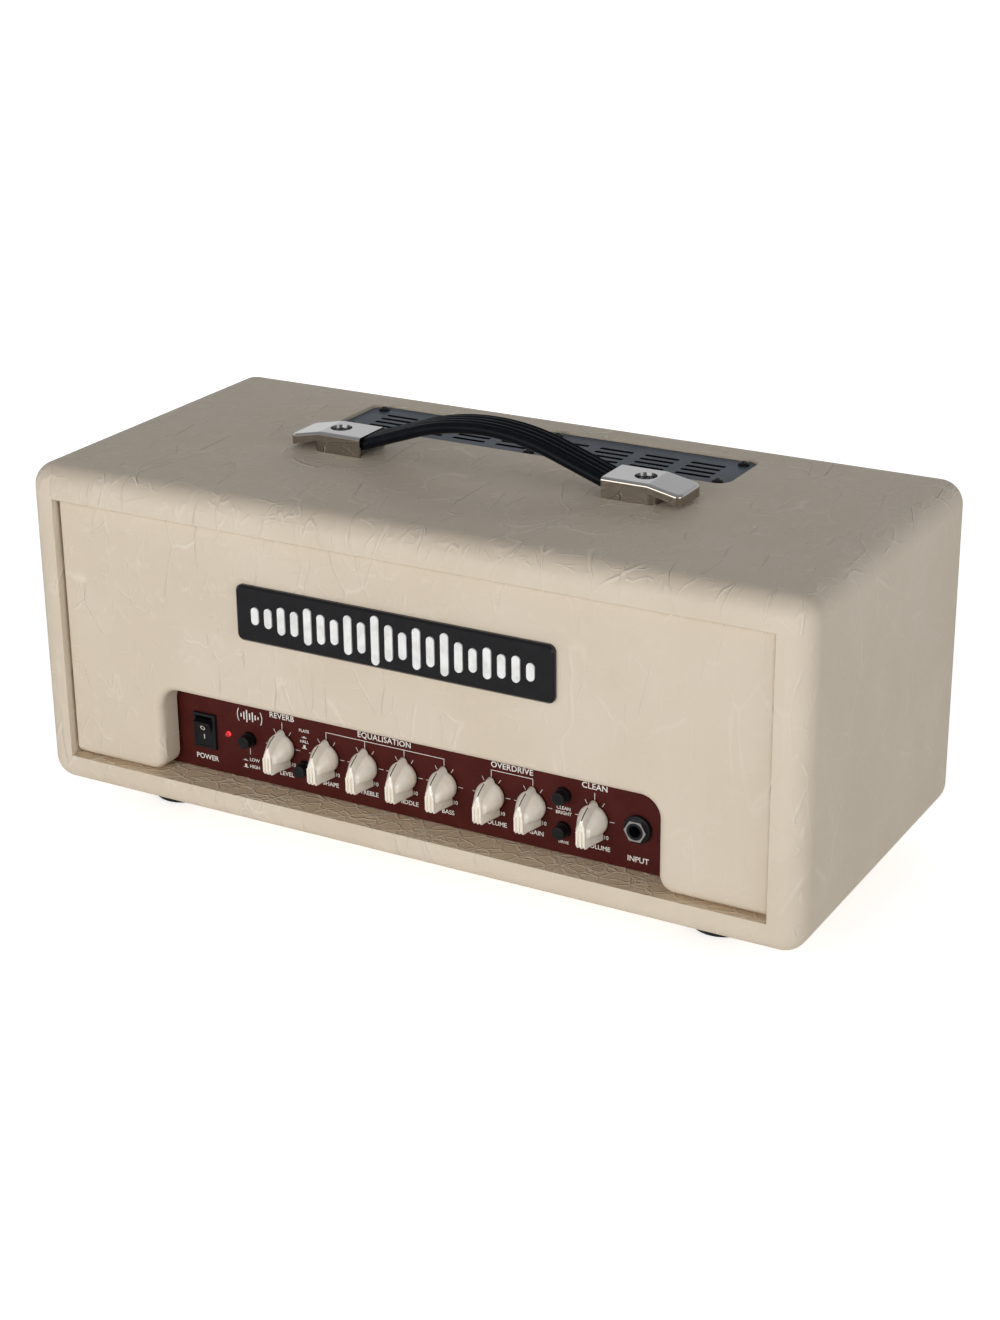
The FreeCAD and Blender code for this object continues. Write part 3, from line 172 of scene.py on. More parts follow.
def cream_vinyl():
    """Covering with an elephant-hide emboss: long raised folds, fine cross wrinkles and a tight grain.

    The wrinkles gather on the rounded edges, on the ledge below the controls and to the left.
    """
    s = Surface("cream_vinyl", (0.66, 0.565, 0.43), 0.5, Specular_IOR_Level=0.35)
    place = s.position()
    x, y, z = s.axes(place)
    normal = s.node("ShaderNodeNewGeometry").outputs["Normal"]
    facing = [s.math("ABSOLUTE", axis) for axis in s.axes(normal)]
    flatness = s.math("MAXIMUM", s.math("MAXIMUM", facing[0], facing[1]), facing[2])
    rounded = s.spread(flatness, 0.80, 0.985, 1, 0)
    level = s.spread(facing[2], 0.6, 0.95)
    ledge = s.math("MULTIPLY", level, s.spread(z, 36, 60, 1, 0))
    leftward = s.spread(x, -120, 190, 0.85, 0.32)
    crowding = s.math("MAXIMUM", leftward, s.math("MAXIMUM", level, s.math("MULTIPLY", rounded, 0.8)))

    tall = s.position((1.0, 0.50, 0.36))
    folds = s.cracks(s.warp(s.warp(tall, 50, 34, 1), 9, 2.2, 2), 24, 0.75)
    folds = s.math("MULTIPLY", folds, s.spread(s.noise(place, 30, 1), 0.46, 0.56))
    fine = s.cracks(s.warp(s.position((1.0, 0.6, 0.5)), 20, 12, 3), 15, 0.6)
    fine = s.math("MULTIPLY", fine, s.spread(s.noise(place, 19, 1), 0.50, 0.62))
    upright = s.cracks(s.warp(s.position((1.0, 0.28, 0.28)), 12, 8, 2), 7, 0.7)
    upright = s.math("MULTIPLY", upright, s.spread(s.noise(place, 14, 1), 0.50, 0.60))
    across = s.cracks(s.warp(s.position((0.28, 0.9, 0.9)), 12, 8, 2), 9, 0.6)
    across = s.math("MULTIPLY", across, s.spread(s.noise(place, 13, 1), 0.38, 0.48, 1, 0))
    hide = s.cracks(s.warp(s.position((0.75, 1.0, 1.0)), 7, 6, 3), 8.5, 0.8)
    wrinkles = s.math("MAXIMUM", s.math("MULTIPLY", upright, s.math("MULTIPLY_ADD", rounded, 0.24, 0.18)),
                      s.math("MULTIPLY", across, 0.22))
    wrinkles = s.math("MAXIMUM", wrinkles, s.math("MULTIPLY", fine, 0.30))
    creased = s.math("MULTIPLY", s.math("MAXIMUM", s.math("MULTIPLY", folds, 0.55), wrinkles), crowding)
    creased = s.math("MAXIMUM", creased, s.math("MULTIPLY", s.math("MULTIPLY", hide, ledge), 0.40))
    height = s.math("MULTIPLY_ADD", s.noise(place, 0.9, 3, 0.6), 0.035, creased)
    height = s.math("MULTIPLY_ADD", s.noise(place, 15, 2), 0.30, height)
    s.relief(height, 1.0)

    patches = s.noise(place, 60, 3)
    base = s.mix(s.spread(patches, 0.3, 0.7), (0.640, 0.550, 0.436), (0.670, 0.582, 0.470))
    # Painted bounce light: the level ledge below the controls is tinted warmer, as if lit by light thrown back
    # from the vinyl and panel.
    base = s.mix(ledge, base, (0.72, 0.575, 0.40))
    # Painted highlight: the folds and wrinkles are lightened in colour, as light catching their raised ridges.
    s.set("Base Color", s.mix(s.math("MULTIPLY", creased, 0.9), base, (0.82, 0.735, 0.62)))
    s.set("Roughness", s.spread(s.noise(place, 4, 3), 0.3, 0.7, 0.46, 0.56))
    return s.material


def bare_wood():
    s = Surface("birch_board", (0.6, 0.42, 0.25), 0.65)
    rings = s.noise(s.position((0.06, 0.9, 0.9)), 3.0, 4, 0.6, 1.5)
    s.set("Base Color", s.mix(s.spread(rings, 0.35, 0.65), (0.64, 0.47, 0.29), (0.47, 0.31, 0.17)))
    s.relief(rings, 0.05)
    return s.material


def painted_steel(name, color, speckle=0.5, roughness=0.42, shaded_walls=False):
    """Satin powder coat with fine orange peel and slight dust; the walls of slots can take painted shade, near
    black.
    """
    s = Surface(name, color, roughness, Specular_IOR_Level=0.25)
    place = s.position()
    peel = s.noise(place, speckle, 2, 0.6)
    cloud = s.noise(place, 25, 3)
    dark = tuple(c * 0.86 for c in color)
    light = tuple(c * 1.12 + 0.003 for c in color)
    coat = s.mix(s.spread(cloud, 0.3, 0.7), dark, light)
    # Painted shade: faces that do not face up, the walls of the slots and the plate's edges, are made near black.
    if shaded_walls:
        upward = s.axes(s.node("ShaderNodeNewGeometry").outputs["Normal"])[2]
        coat = s.mix(s.spread(upward, 0.4, 0.9), (0.003, 0.003, 0.004), coat)
    s.set("Base Color", coat)
    s.set("Roughness", s.spread(peel, 0.3, 0.7, roughness - 0.06, roughness + 0.08))
    s.relief(peel, 0.02, 0.5)
    return s.material


def maroon_panel():
    """Screen-printed aluminium: satin lacquer with a fine mottle."""
    s = Surface("maroon_panel", (0.055, 0.008, 0.006), 0.5, Specular_IOR_Level=0.12)
    place = s.position()
    mottle = s.noise(place, 0.55, 3, 0.65)
    cloud = s.noise(place, 18, 2)
    base = s.mix(s.spread(mottle, 0.35, 0.65), (0.051, 0.0064, 0.0048), (0.071, 0.0100, 0.0076))
    s.set("Base Color", s.mix(s.spread(cloud, 0.3, 0.75, 0, 0.35), base, (0.093, 0.0165, 0.0130)))
    s.set("Roughness", s.spread(mottle, 0.3, 0.7, 0.44, 0.56))
    s.relief(mottle, 0.02, 0.4)
    return s.material


def plated(name, color, roughness, streaks=0.0):
    """Bright plated or drawn metal, with faint smears in its polish."""
    s = Surface(name, color, roughness, 1.0)
    smear = s.noise(s.position(), 9, 4, 0.6)
    fine = s.noise(s.position((1, 1, 0.05)), 0.4, 2)
    s.set("Roughness", s.spread(smear, 0.35, 0.75, roughness, roughness + 0.06 + streaks))
    s.set("Base Color", s.mix(s.spread(smear, 0.3, 0.8, 0, 0.3), color, tuple(c * 0.85 for c in color)))
    s.relief(fine, 0.004 + streaks * 0.03, 0.4)
    return s.material


def cap_chrome():
    """Bright plating, with a painted reflection that darkens it down the sides and painted shade in the dimple
    around each screw.
    """
    s = Surface("cap_chrome", (0.62, 0.605, 0.59), 0.07, 1.0)
    place = s.position()
    low, high = (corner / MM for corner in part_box("handle_screws"))
    radius = (high.y - low.y) / 2
    x, y, z = s.axes(place)
    near = s.node("ShaderNodeCombineXYZ", X=s.math("ABSOLUTE", x), Y=y)
    away = s.node("ShaderNodeVectorMath", {"operation": "DISTANCE"})
    s.feed(away.inputs[0], near.outputs["Vector"])
    away.inputs[1].default_value = (high.x - radius, (low.y + high.y) / 2, 0)
    dimple = s.spread(away.outputs["Value"], 5.9, 6.4, 1, 0)
    upward = s.axes(s.node("ShaderNodeNewGeometry").outputs["Normal"])[2]
    # Painted reflection: the sides are darker and browner than the top, as if mirroring the shaded vinyl around
    # them.
    plate = s.mix(s.spread(upward, 0.25, 0.85), (0.34, 0.30, 0.26), (0.64, 0.63, 0.62))
    # Painted shade: the dimple around each screw is made dark.
    s.set("Base Color", s.mix(dimple, plate, (0.12, 0.117, 0.115)))
    smear = s.noise(place, 9, 4, 0.6)
    s.set("Roughness", s.spread(smear, 0.35, 0.75, 0.04, 0.10))
    s.relief(s.noise(place, 6, 2), 0.03, 0.4)
    return s.material


def moulded(name, color, roughness, grain=0.25, depth=0.012, gloss=0.25):
    """Moulded plastic or rubber with a fine surface grain."""
    s = Surface(name, color, roughness, Specular_IOR_Level=gloss)
    place = s.position()
    skin = s.noise(place, grain, 3, 0.6)
    cloud = s.noise(place, 7, 3)
    s.set("Base Color", s.mix(s.spread(cloud, 0.3, 0.7), tuple(c * 0.9 for c in color),
                              tuple(min(1, c * 1.08 + 0.001) for c in color)))
    s.set("Roughness", s.spread(cloud, 0.3, 0.7, roughness * 0.9, roughness * 1.15))
    s.relief(skin, depth, 0.6)
    return s.material


def cream_knob():
    """Glossy cream plastic that lets a little light in."""
    s = Surface("cream_knob", (0.70, 0.615, 0.495), 0.2, Coat_Weight=0.6, Coat_Roughness=0.06,
                Subsurface_Weight=0.12, Subsurface_Scale=0.003)
    s.shader.inputs["Subsurface Radius"].default_value = (1.0, 0.7, 0.4)
    cloud = s.noise(s.position(), 5, 3)
    s.set("Base Color", s.mix(s.spread(cloud, 0.3, 0.7), (0.87, 0.80, 0.69), (0.92, 0.86, 0.76)))
    s.relief(s.noise(s.position(), 1.6, 2), 0.02, 0.35)
    return s.material


def printed_white():
    """Screen ink, a little uneven where it sits on the lacquer."""
    color = (0.78, 0.76, 0.72)
    s = Surface("legend_white", color, 0.5)
    ink = s.noise(s.position(), 0.6, 3, 0.7)
    s.set("Base Color", s.mix(s.spread(ink, 0.25, 0.55), tuple(c * 0.8 for c in color), color))
    s.relief(ink, 0.01, 0.5)
    return s.material


def lit_lens():
    """The power lamp's red lens, lit from its middle."""
    s = Surface("red_lens", (0.8, 0.01, 0.01), 0.15, Coat_Weight=0.8)
    centre = middle("power_led")
    spot = s.node("ShaderNodeVectorMath", {"operation": "DISTANCE"})
    s.feed(spot.inputs[0], s.position())
    spot.inputs[1].default_value = centre / MM
    glow = s.spread(spot.outputs["Value"], 2.0, 3.2, 1, 0)
    s.set("Emission Color", s.mix(glow, (0.8, 0.012, 0.018), (1.0, 0.07, 0.08)))
    s.set("Emission Strength", s.math("MULTIPLY_ADD", glow, 0.9, 0.35))
    s.set("Base Color", s.mix(glow, (0.16, 0.004, 0.004), (0.8, 0.01, 0.01)))
    return s.material


def circuit_board():
    s = Surface("circuit_green", (0.02, 0.16, 0.06), 0.35)
    tracks = s.cracks(s.position(), 3.0, 0.6)
    s.set("Base Color", s.mix(tracks, (0.012, 0.10, 0.04), (0.03, 0.22, 0.09)))
    s.relief(tracks, 0.03)
    return s.material


MATERIALS = {
    "cream_vinyl": cream_vinyl(),
    "birch_board": bare_wood(),
    "vent_paint": painted_steel("vent_paint", (0.070, 0.092, 0.122), shaded_walls=True),
    "black_screw": moulded("black_screw", (0.006, 0.006, 0.007), 0.30, 0.6, 0.02),
    "badge_black": moulded("badge_black", (0.006, 0.006, 0.008), 0.22, 0.8, 0.01, 0.4),
    "badge_white": moulded("badge_white", (0.80, 0.80, 0.79), 0.28, 0.8, 0.008, 0.3),
    "black_rubber": moulded("black_rubber", (0.0035, 0.0050, 0.0075), 0.38, 0.35, 0.02, gloss=0.08),
    "chrome_plate": plated("chrome_plate", (0.62, 0.605, 0.59), 0.07),
    "zinc_steel": plated("zinc_steel", (0.58, 0.58, 0.56), 0.32, 0.1),
    "maroon_panel": maroon_panel(),
    "cream_knob": cream_knob(),
    "shaft_metal": plated("shaft_metal", (0.74, 0.74, 0.73), 0.28, 0.08),
    "black_plastic": moulded("black_plastic", (0.007, 0.0075, 0.009), 0.33, 0.5, 0.012),
    "black_nylon": moulded("black_nylon", (0.007, 0.008, 0.010), 0.45, 0.35, 0.02),
    "red_lens": lit_lens(),
    "circuit_green": circuit_board(),
    "wire_sheath": moulded("wire_sheath", (0.02, 0.05, 0.22), 0.4),
}
LEGEND_WHITE = printed_white()
LEGEND_BLACK = moulded("pointer_black", (0.01, 0.01, 0.01), 0.4)


def paint(thing, material):
    """Gives a CAD node one material."""
    thing.data.materials.clear()
    thing.data.materials.append(material)
    for face in thing.data.polygons:
        face.material_index = 0


for entry in frame["record"]["subparts"]:
    paint(NODES[entry["node"]], MATERIALS[entry["material_slot"]])
paint(NODES["handle_caps"], cap_chrome())
# Painted shade: the screws are darkened well below bright steel, for the shade of the dimples they sit in.
paint(NODES["handle_screws"], plated("screw_steel", (0.10, 0.10, 0.105), 0.4))
chassis_black = painted_steel("chassis_black", (0.018, 0.018, 0.020), 0.6, 0.45)
for name in ("chassis_tray", "chassis_lid"):
    paint(NODES[name], chassis_black)


# ---------------------------------------------------------------- mesh helpers

def mesh_piece(name, mesh, body, slot, material=None, smooth=True):
    """A piece of the object from a mesh, riding on a body."""
    thing = bpy.data.objects.new(name, mesh)
    bpy.context.scene.collection.objects.link(thing)
    if not mesh.materials:
        mesh.materials.append(material or MATERIALS[slot])
    for face in mesh.polygons:
        face.use_smooth = smooth
    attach(thing, body)
    return thing


def from_bmesh(name, shape):
    """Turns a bmesh into a mesh with its normals outward, and frees it."""
    bmesh.ops.recalc_face_normals(shape, faces=shape.faces)
    mesh = bpy.data.meshes.new(name)
    shape.to_mesh(mesh)
    shape.free()
    return mesh


def loft(shape, rings):
    """Joins rings of points, each with the same count, into a closed solid."""
    made = [[shape.verts.new(point) for point in ring] for ring in rings]
    count = len(rings[0])
    for first, second in zip(made, made[1:]):
        for index in range(count):
            after = (index + 1) % count
            shape.faces.new((first[index], first[after], second[after], second[index]))
    shape.faces.new(made[0][::-1])
    shape.faces.new(made[-1])


def melted(name, shape, voxel, passes):
    """Joins overlapping closed solids into one skin and softens its corners."""
    draft = bpy.data.objects.new(name, from_bmesh(name, shape))
    bpy.context.scene.collection.objects.link(draft)
    remesh = draft.modifiers.new("join", "REMESH")
    remesh.mode = "VOXEL"
    remesh.voxel_size = voxel
    soften = draft.modifiers.new("soften", "SMOOTH")
    soften.factor = 0.5
    soften.iterations = passes
    graph = bpy.context.evaluated_depsgraph_get()
    mesh = bpy.data.meshes.new_from_object(draft.evaluated_get(graph))
    bpy.data.objects.remove(draft)
    mesh.name = name
    return mesh


# ---------------------------------------------------------------- knobs

# Millimetres from the knob's axis and from its back throughout. Stations along the pointer bar: place along
# it, ridge height, half width at the ridge and half width at the back.
BAR = ((10.8, 1.4, 0.25, 0.5), (10.6, 3.8, 0.3, 1.1), (10.0, 6.0, 0.32, 1.8), (9.1, 8.0, 0.34, 2.3),
       (7.9, 10.2, 0.36, 2.8), (6.5, 12.3, 0.42, 3.3), (5.0, 13.9, 0.6, 3.7), (3.2, 14.7, 1.1, 4.1),
       (1.2, 14.9, 1.9, 4.4), (-1.0, 14.8, 2.4, 4.8), (-4.0, 14.7, 2.65, 5.3), (-9.6, 14.5, 2.7, 5.7),
       (-10.4, 14.1, 2.65, 5.7), (-10.8, 13.2, 2.5, 5.6))
# The round body: radius, height above its back, and how far its middle drops towards the tail.
SKIRT = ((8.3, 0.2, 0.0), (8.45, 1.2, 0.1), (8.3, 2.6, 0.4), (7.75, 4.2, 0.8), (7.0, 6.2, 1.2),
         (6.1, 8.2, 1.6), (5.25, 10.2, 2.0), (4.4, 12.2, 2.4), (3.4, 13.5, 2.7), (1.7, 14.3, 2.9))
# Ribs on the tail: how far from the middle, and how far each stands prouder than the rib path.
RIBS = ((-2.1, 0.25), (0.0, 0.5), (2.1, 0.25))
RIB_RADIUS = 0.72
# The pointer line: its two ends, half width, and how far it is let in and stands out.
LINE_TOP, LINE_END = 9.5, 4.9
LINE_HALF, LINE_SUNK, LINE_PROUD = 0.27, 0.5, 0.07


def rib_path(u, proud):
    """The middle line of one rib: up the blunt tail, then along its face to the ridge."""
    path = [(2.4 - abs(u) * 0.8, 14.4), (-1.5, 14.9 + proud), (-8.8, 14.8 + proud),
            (-10.3, 13.8 + proud * 0.6), (-10.7, 12.2), (-10.7, 0.9)]
    return [Vector((u * (0.5 if z > 0 else 1), -h, z)) * MM for z, h in path]


def knob_mesh():
    """A pointer knob about the origin: it points to +Z and stands out along -Y from y = 0."""
    shape = bmesh.new()
    rings = [[Vector((u, -v, z)) * MM for u, v in ((-low, 0.1), (-top, high), (top, high), (low, 0.1))]
             for z, high, top, low in BAR]
    loft(shape, rings)
    turns = [math.tau * i / 48 for i in range(48)]
    loft(shape, [[Vector((r * math.cos(a), -h, r * math.sin(a) - drop)) * MM for a in turns]
                 for r, h, drop in SKIRT])
    turns = [math.tau * i / 12 for i in range(12)]
    for u, proud in RIBS:
        centres = rib_path(u, proud)
        for first, second in zip(centres, centres[1:]):
            along = (second - first).normalized()
            other = along.cross(Vector((1, 0, 0))).normalized()
            ring = [(Vector((math.cos(a), 0, 0)) + other * math.sin(a)) * RIB_RADIUS * MM for a in turns]
            overlap = along * 0.25 * MM
            loft(shape, [[centre + p for p in ring] for centre in (first - overlap, second + overlap)])
    return melted("knob_form", shape, 0.24 * MM, 2)


def pointer_line(name, form):
    """The black line let into the ridge of a pointer, laid on the surface of the moulding."""
    surface = BVHTree.FromPolygons([v.co for v in form.vertices], [f.vertices for f in form.polygons])
    out = Vector((0, -1, 0))
    rings = []
    steps = 12
    for step in range(steps + 1):
        z = LINE_TOP + (LINE_END - LINE_TOP) * step / steps
        touch = surface.ray_cast(Vector((0, -20, z)) * MM, -out)[0]
        rings.append([touch + (Vector((u, 0, 0)) + out * lift) * MM
                      for u, lift in ((-LINE_HALF, -LINE_SUNK), (-LINE_HALF, LINE_PROUD),
                                      (LINE_HALF, LINE_PROUD), (LINE_HALF, -LINE_SUNK))])
    shape = bmesh.new()
    loft(shape, rings)
    return from_bmesh(name, shape)


def knobs():
    """One moulding and one pointer line on each knob's shaft."""
    form = knob_mesh()
    form.materials.append(MATERIALS["cream_knob"])
    line = pointer_line("pointer_line", form)
    for name in KNOB_NAMES:
        shaft = middle("shaft_" + name)
        at = Vector((shaft.x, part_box("knob_" + name)[1].y, shaft.z))
        thing = mesh_piece("knob_" + name + "_moulding", form.copy(), "knob_" + name, "cream_knob")
        thing.data.transform(Matrix.Translation(at))
        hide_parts("knob_" + name)
        line_mesh = line.copy()
        line_mesh.transform(Matrix.Translation(at))
        mesh_piece("pointer_line_" + name, line_mesh, "knob_" + name, "black_plastic", LEGEND_BLACK, False)


# ---------------------------------------------------------------- panel legends

# Millimetres. Lines of ink stand this far out of the panel, and start this far inside it.
INK_PROUD, INK_SUNK = 0.05, 0.02
# Heights of the printing above the cabinet's underside.
HEADING_Z, BRACKET_Z, EMBLEM_Z, REVERB_TYPE_Z = 60.7, 57.4, 56.6, 55.2
KNOB_NAME_Z, POWER_Z, INPUT_Z = 26.6, 25.6, 24.7
REAR_HEADING_Z, REAR_NAME_Z, MAINS_Z = 64.5, 57.5, 66.5


def strip(shape, start, end, width, front):
    """A printed line between two points of the panel, in millimetres."""
    first, last = Vector((start[0], 0, start[1])), Vector((end[0], 0, end[1]))
    side = (last - first).cross(Vector((0, 1, 0))).normalized() * width / 2
    corners = (first + side, last + side, last - side, first - side)
    loft(shape, [[(c + Vector((0, y, 0))) * MM for c in corners]
                 for y in (front + INK_SUNK, front - INK_PROUD)])


def arc_strip(shape, centre, radius, start, end, width, front, pieces=16):
    """A printed arc; angles are in degrees clockwise from the top."""
    turns = [math.radians(start + (end - start) * i / pieces) for i in range(pieces + 1)]
    points = [(centre[0] + radius * math.sin(a), centre[1] + radius * math.cos(a)) for a in turns]
    for first, second in zip(points, points[1:]):
        strip(shape, first, second, width, front)


def lettering(shape, words, centre, height, front, turned=False, spacing=1.0):
    """Adds words to a mesh as thin printed solids; centre is in millimetres on the panel."""
    curve = bpy.data.curves.new("words", "FONT")
    curve.body = words
    curve.size = height * 1.42 * MM
    curve.space_character = spacing
    curve.align_x = "CENTER"
    curve.align_y = "CENTER"
    curve.extrude = 0.03 * MM
    curve.offset = 0.020 * height * MM
    curve.resolution_u = 3
    draft = bpy.data.objects.new("words", curve)
    bpy.context.scene.collection.objects.link(draft)
    graph = bpy.context.evaluated_depsgraph_get()
    mesh = bpy.data.meshes.new_from_object(draft.evaluated_get(graph))
    bpy.data.objects.remove(draft)
    stand = Matrix.Rotation(math.pi / 2, 4, "X")
    if turned:
        stand = Matrix.Rotation(math.pi, 4, "Z") @ stand
    mesh.transform(Matrix.Translation(Vector((centre[0], front, centre[1])) * MM) @ stand)
    shape.from_mesh(mesh)
    bpy.data.meshes.remove(mesh)


def push_icon(shape, centre, front, pressed):
    """The small picture of a button that stands out or is pressed in."""
    x, z = centre
    strip(shape, (x - 1.6, z - 1.0), (x + 1.6, z - 1.0), 0.42, front)
    if pressed:
        arc_strip(shape, (x, z - 1.0), 0.55, -90, 90, 0.7, front, 8)
    else:
        strip(shape, (x, z - 0.9), (x, z + 1.0), 1.4, front)


def dial(shape, x, z, front):
    """The ticks and numbers around one knob."""
    for angle, near, far in ((-90, 8.6, 11.5), (-30, 8.7, 11.3), (30, 8.7, 11.3), (90, 8.6, 11.5)):
        a = math.radians(angle)
        strip(shape, (x + near * math.sin(a), z + near * math.cos(a)),
              (x + far * math.sin(a), z + far * math.cos(a)), 0.3, front)
    for angle, words in ((-148, "0"), (148, "10")):
        a = math.radians(angle)
        lettering(shape, words, (x + 12.4 * math.sin(a), z + 12.4 * math.cos(a) + 0.8), 2.2, front)
    strip(shape, (x, z + 10.4), (x, z + 14.6), 0.34, front)


def button_legends(shape, front, base):
    """The words and small pictures beside the four push buttons."""
    power = middle("button_power_level") / MM
    strip(shape, (power.x, power.z - 5.6), (power.x, power.z - 9.4), 0.3, front)
    for row, (words, pressed) in enumerate((("LOW", True), ("HIGH", False))):
        z = power.z - 12.6 - 4.2 * row
        push_icon(shape, (power.x - 3.4, z), front, pressed)
        lettering(shape, words, (power.x + 2.6, z), 2.0, front)
    reverb = middle("button_reverb_type") / MM
    for row, (words, pressed) in enumerate((("PLATE", True), ("HALL", False))):
        z = base + REVERB_TYPE_Z - 6.4 * row
        lettering(shape, words, (reverb.x, z), 1.7, front)
        push_icon(shape, (reverb.x, z - 3.0), front, pressed)
    bright = middle("button_clean_bright") / MM
    for words, z, height in (("CLEAN", 44.6, 1.9), ("BRIGHT", 41.8, 1.9), ("DRIVE", 24.9, 1.6)):
        lettering(shape, words, (bright.x, base + z), height, front)


def emblem(shape, x, z, front):
    """A small sound wave between two arcs."""
    bars = (2.2, 4.6, 7.4, 4.0, 5.8, 3.0, 1.6)
    for index, high in enumerate(bars):
        across = x + (index - len(bars) // 2) * 1.9
        strip(shape, (across, z - high / 2), (across, z + high / 2), 0.8, front)
    arc_strip(shape, (x, z), 8.2, 62, 118, 0.5, front)
    arc_strip(shape, (x, z), 8.2, -118, -62, 0.5, front)


def front_legends():
    """All the printing on the control panel, as one piece."""
    shape = bmesh.new()
    front = PANEL_Y / MM
    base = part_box("sleeve_covering")[0].z / MM
    across = {name: middle("shaft_" + name).x / MM for name in KNOB_NAMES}
    for x in across.values():
        dial(shape, x, middle("shaft_bass").z / MM, front)

    for first, last in (("shape", "bass"), ("overdrive_volume", "overdrive_gain")):
        strip(shape, (across[first] - 0.17, base + BRACKET_Z), (across[last] + 0.17, base + BRACKET_Z),
              0.34, front)
    headings = (("REVERB", across["reverb_level"]),
                ("EQUALISATION", (across["shape"] + across["bass"]) / 2),
                ("OVERDRIVE", (across["overdrive_volume"] + across["overdrive_gain"]) / 2),
                ("CLEAN", across["clean_volume"]))
    for words, x in headings:
        lettering(shape, words, (x, base + HEADING_Z), 3.3, front, spacing=1.05)
    for name, x in across.items():
        words = name.split("_")[-1].upper()
        lettering(shape, words, (x + 2.0, base + KNOB_NAME_Z), 2.6, front)
    lettering(shape, "POWER", (middle("power_switch_housing").x / MM, base + POWER_Z), 3.1, front)
    lettering(shape, "INPUT", (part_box("jack_collars")[1].x / MM - 7.8, base + INPUT_Z), 3.1, front)
    button_legends(shape, front, base)
    emblem(shape, middle("button_power_level").x / MM + 0.6, base + EMBLEM_Z, front)
    legends = from_bmesh("legends", shape)
    mesh_piece("front_panel_legends", legends, "cabinet", "badge_white", LEGEND_WHITE, False)


def rocker_marks():
    """The on and off marks on the two faces of the rocker, laid along its tilted faces."""
    shape = bmesh.new()
    arc_strip(shape, (0, 2.4), 1.25, 0, 360, 0.45, 0, 24)
    strip(shape, (0, -4.7), (0, -1.9), 0.5, 0)
    x = middle("power_switch_rocker").x
    faces = [f for f in NODES["power_switch_rocker"].data.polygons if f.normal.y < -0.7 and f.area > 2e-6]
    pivot = next(Vector(j["pos_m"]) for j in frame["joints"] if j["name"] == "power_rocker_tilt")
    for vertex in shape.verts:
        mark = vertex.co.copy()
        z = pivot.z + mark.z
        face = max((f for f in faces if (f.center.z > pivot.z) == (mark.z > 0)), key=lambda f: f.area)
        y = face.center.y - (z - face.center.z) * face.normal.z / face.normal.y
        vertex.co = Vector((x + mark.x, y + mark.y, z))
    marks = from_bmesh("marks", shape)
    mesh_piece("rocker_marks", marks, "power_rocker", "badge_white", LEGEND_WHITE, False)


def rear_legends():
    """All the printing on the back of the chassis, as one piece."""
    shape = bmesh.new()
    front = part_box("chassis_tray")[1].y / MM + 0.07
    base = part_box("sleeve_covering")[0].z / MM
    across = {mount["name"]: mount["pos_m"][0] / MM for mount in frame["record"]["mounts"]}
    for name, words in (("footswitch_jack", "FOOTSWITCH"), ("speaker_jack_a", "SPEAKER A"),
                        ("speaker_jack_b", "SPEAKER B"), ("effects_send_jack", "SEND"),
                        ("effects_return_jack", "RETURN")):
        lettering(shape, words, (across[name], base + REAR_NAME_Z), 2.4, front, True)
    send, back = across["effects_send_jack"], across["effects_return_jack"]
    lettering(shape, "EFFECTS LOOP", ((send + back) / 2, base + REAR_HEADING_Z), 2.6, front, True)
    for x in (send, back):
        strip(shape, (x, base + 60), (x, base + 62), 0.35, front)
    strip(shape, (send, base + 62), (back, base + 62), 0.35, front)
    lettering(shape, "MAINS INPUT", (middle("mains_inlet").x / MM, base + MAINS_Z), 2.6, front, True)
    legends = from_bmesh("rear_legends", shape)
    mesh_piece("rear_panel_legends", legends, "cabinet", "badge_white", LEGEND_WHITE, False)


# ---------------------------------------------------------------- handle strap

# Metres: the radii of the strap's arch and of its bend into each cap, and how far out the bend ends.
STRAP_ARCH, STRAP_BEND, STRAP_REACH = 0.130, 0.060, 0.092
# Its section: half the thickness, the ridges' height and count, and the width of each round edge.
STRAP_HALF, RIDGE_HIGH, RIDGES, EDGE_WIDE = 0.0036, 0.0016, 3, 0.0042


def strap_line(flat, crown):
    """A function that gives the height of the strap's middle at a distance from the handle's centre."""
    fall = STRAP_ARCH + STRAP_BEND - (crown - flat)
    slope = math.atan2(STRAP_REACH, fall)
    slope -= math.acos((STRAP_ARCH + STRAP_BEND) / math.hypot(STRAP_REACH, fall))
    turn, settle = STRAP_ARCH * math.sin(slope), STRAP_REACH - STRAP_BEND * math.sin(slope)

    def height(x):
        x = abs(x)
        if x < turn:
            return crown - STRAP_ARCH + math.sqrt(STRAP_ARCH ** 2 - x ** 2)
        if x < settle:
            return crown - STRAP_ARCH * (1 - math.cos(slope)) - (x - turn) * math.tan(slope)
        if x < STRAP_REACH:
            return flat + STRAP_BEND - math.sqrt(STRAP_BEND ** 2 - (STRAP_REACH - x) ** 2)
        return flat

    return height


def strap_section(half):
    """Across and up for one ring: ridges on top, round edges and a flat underside."""
    span = half - EDGE_WIDE
    steps = 48
    section = []
    for index in range(steps + 1):
        v = -span + 2 * span * index / steps
        wave = abs(math.sin(math.pi * RIDGES * index / steps))
        section.append((v, STRAP_HALF - RIDGE_HIGH * (1 - math.sqrt(wave))))
    for side, start in ((1, math.pi / 2), (-1, -math.pi / 2)):
        for index in range(1, 12):
            a = start - math.pi * index / 12
            section.append((side * span + EDGE_WIDE * math.cos(a), STRAP_HALF * 0.98 * math.sin(a)))
        if side == 1:
            section += [(span, -STRAP_HALF), (-span, -STRAP_HALF)]
    return section


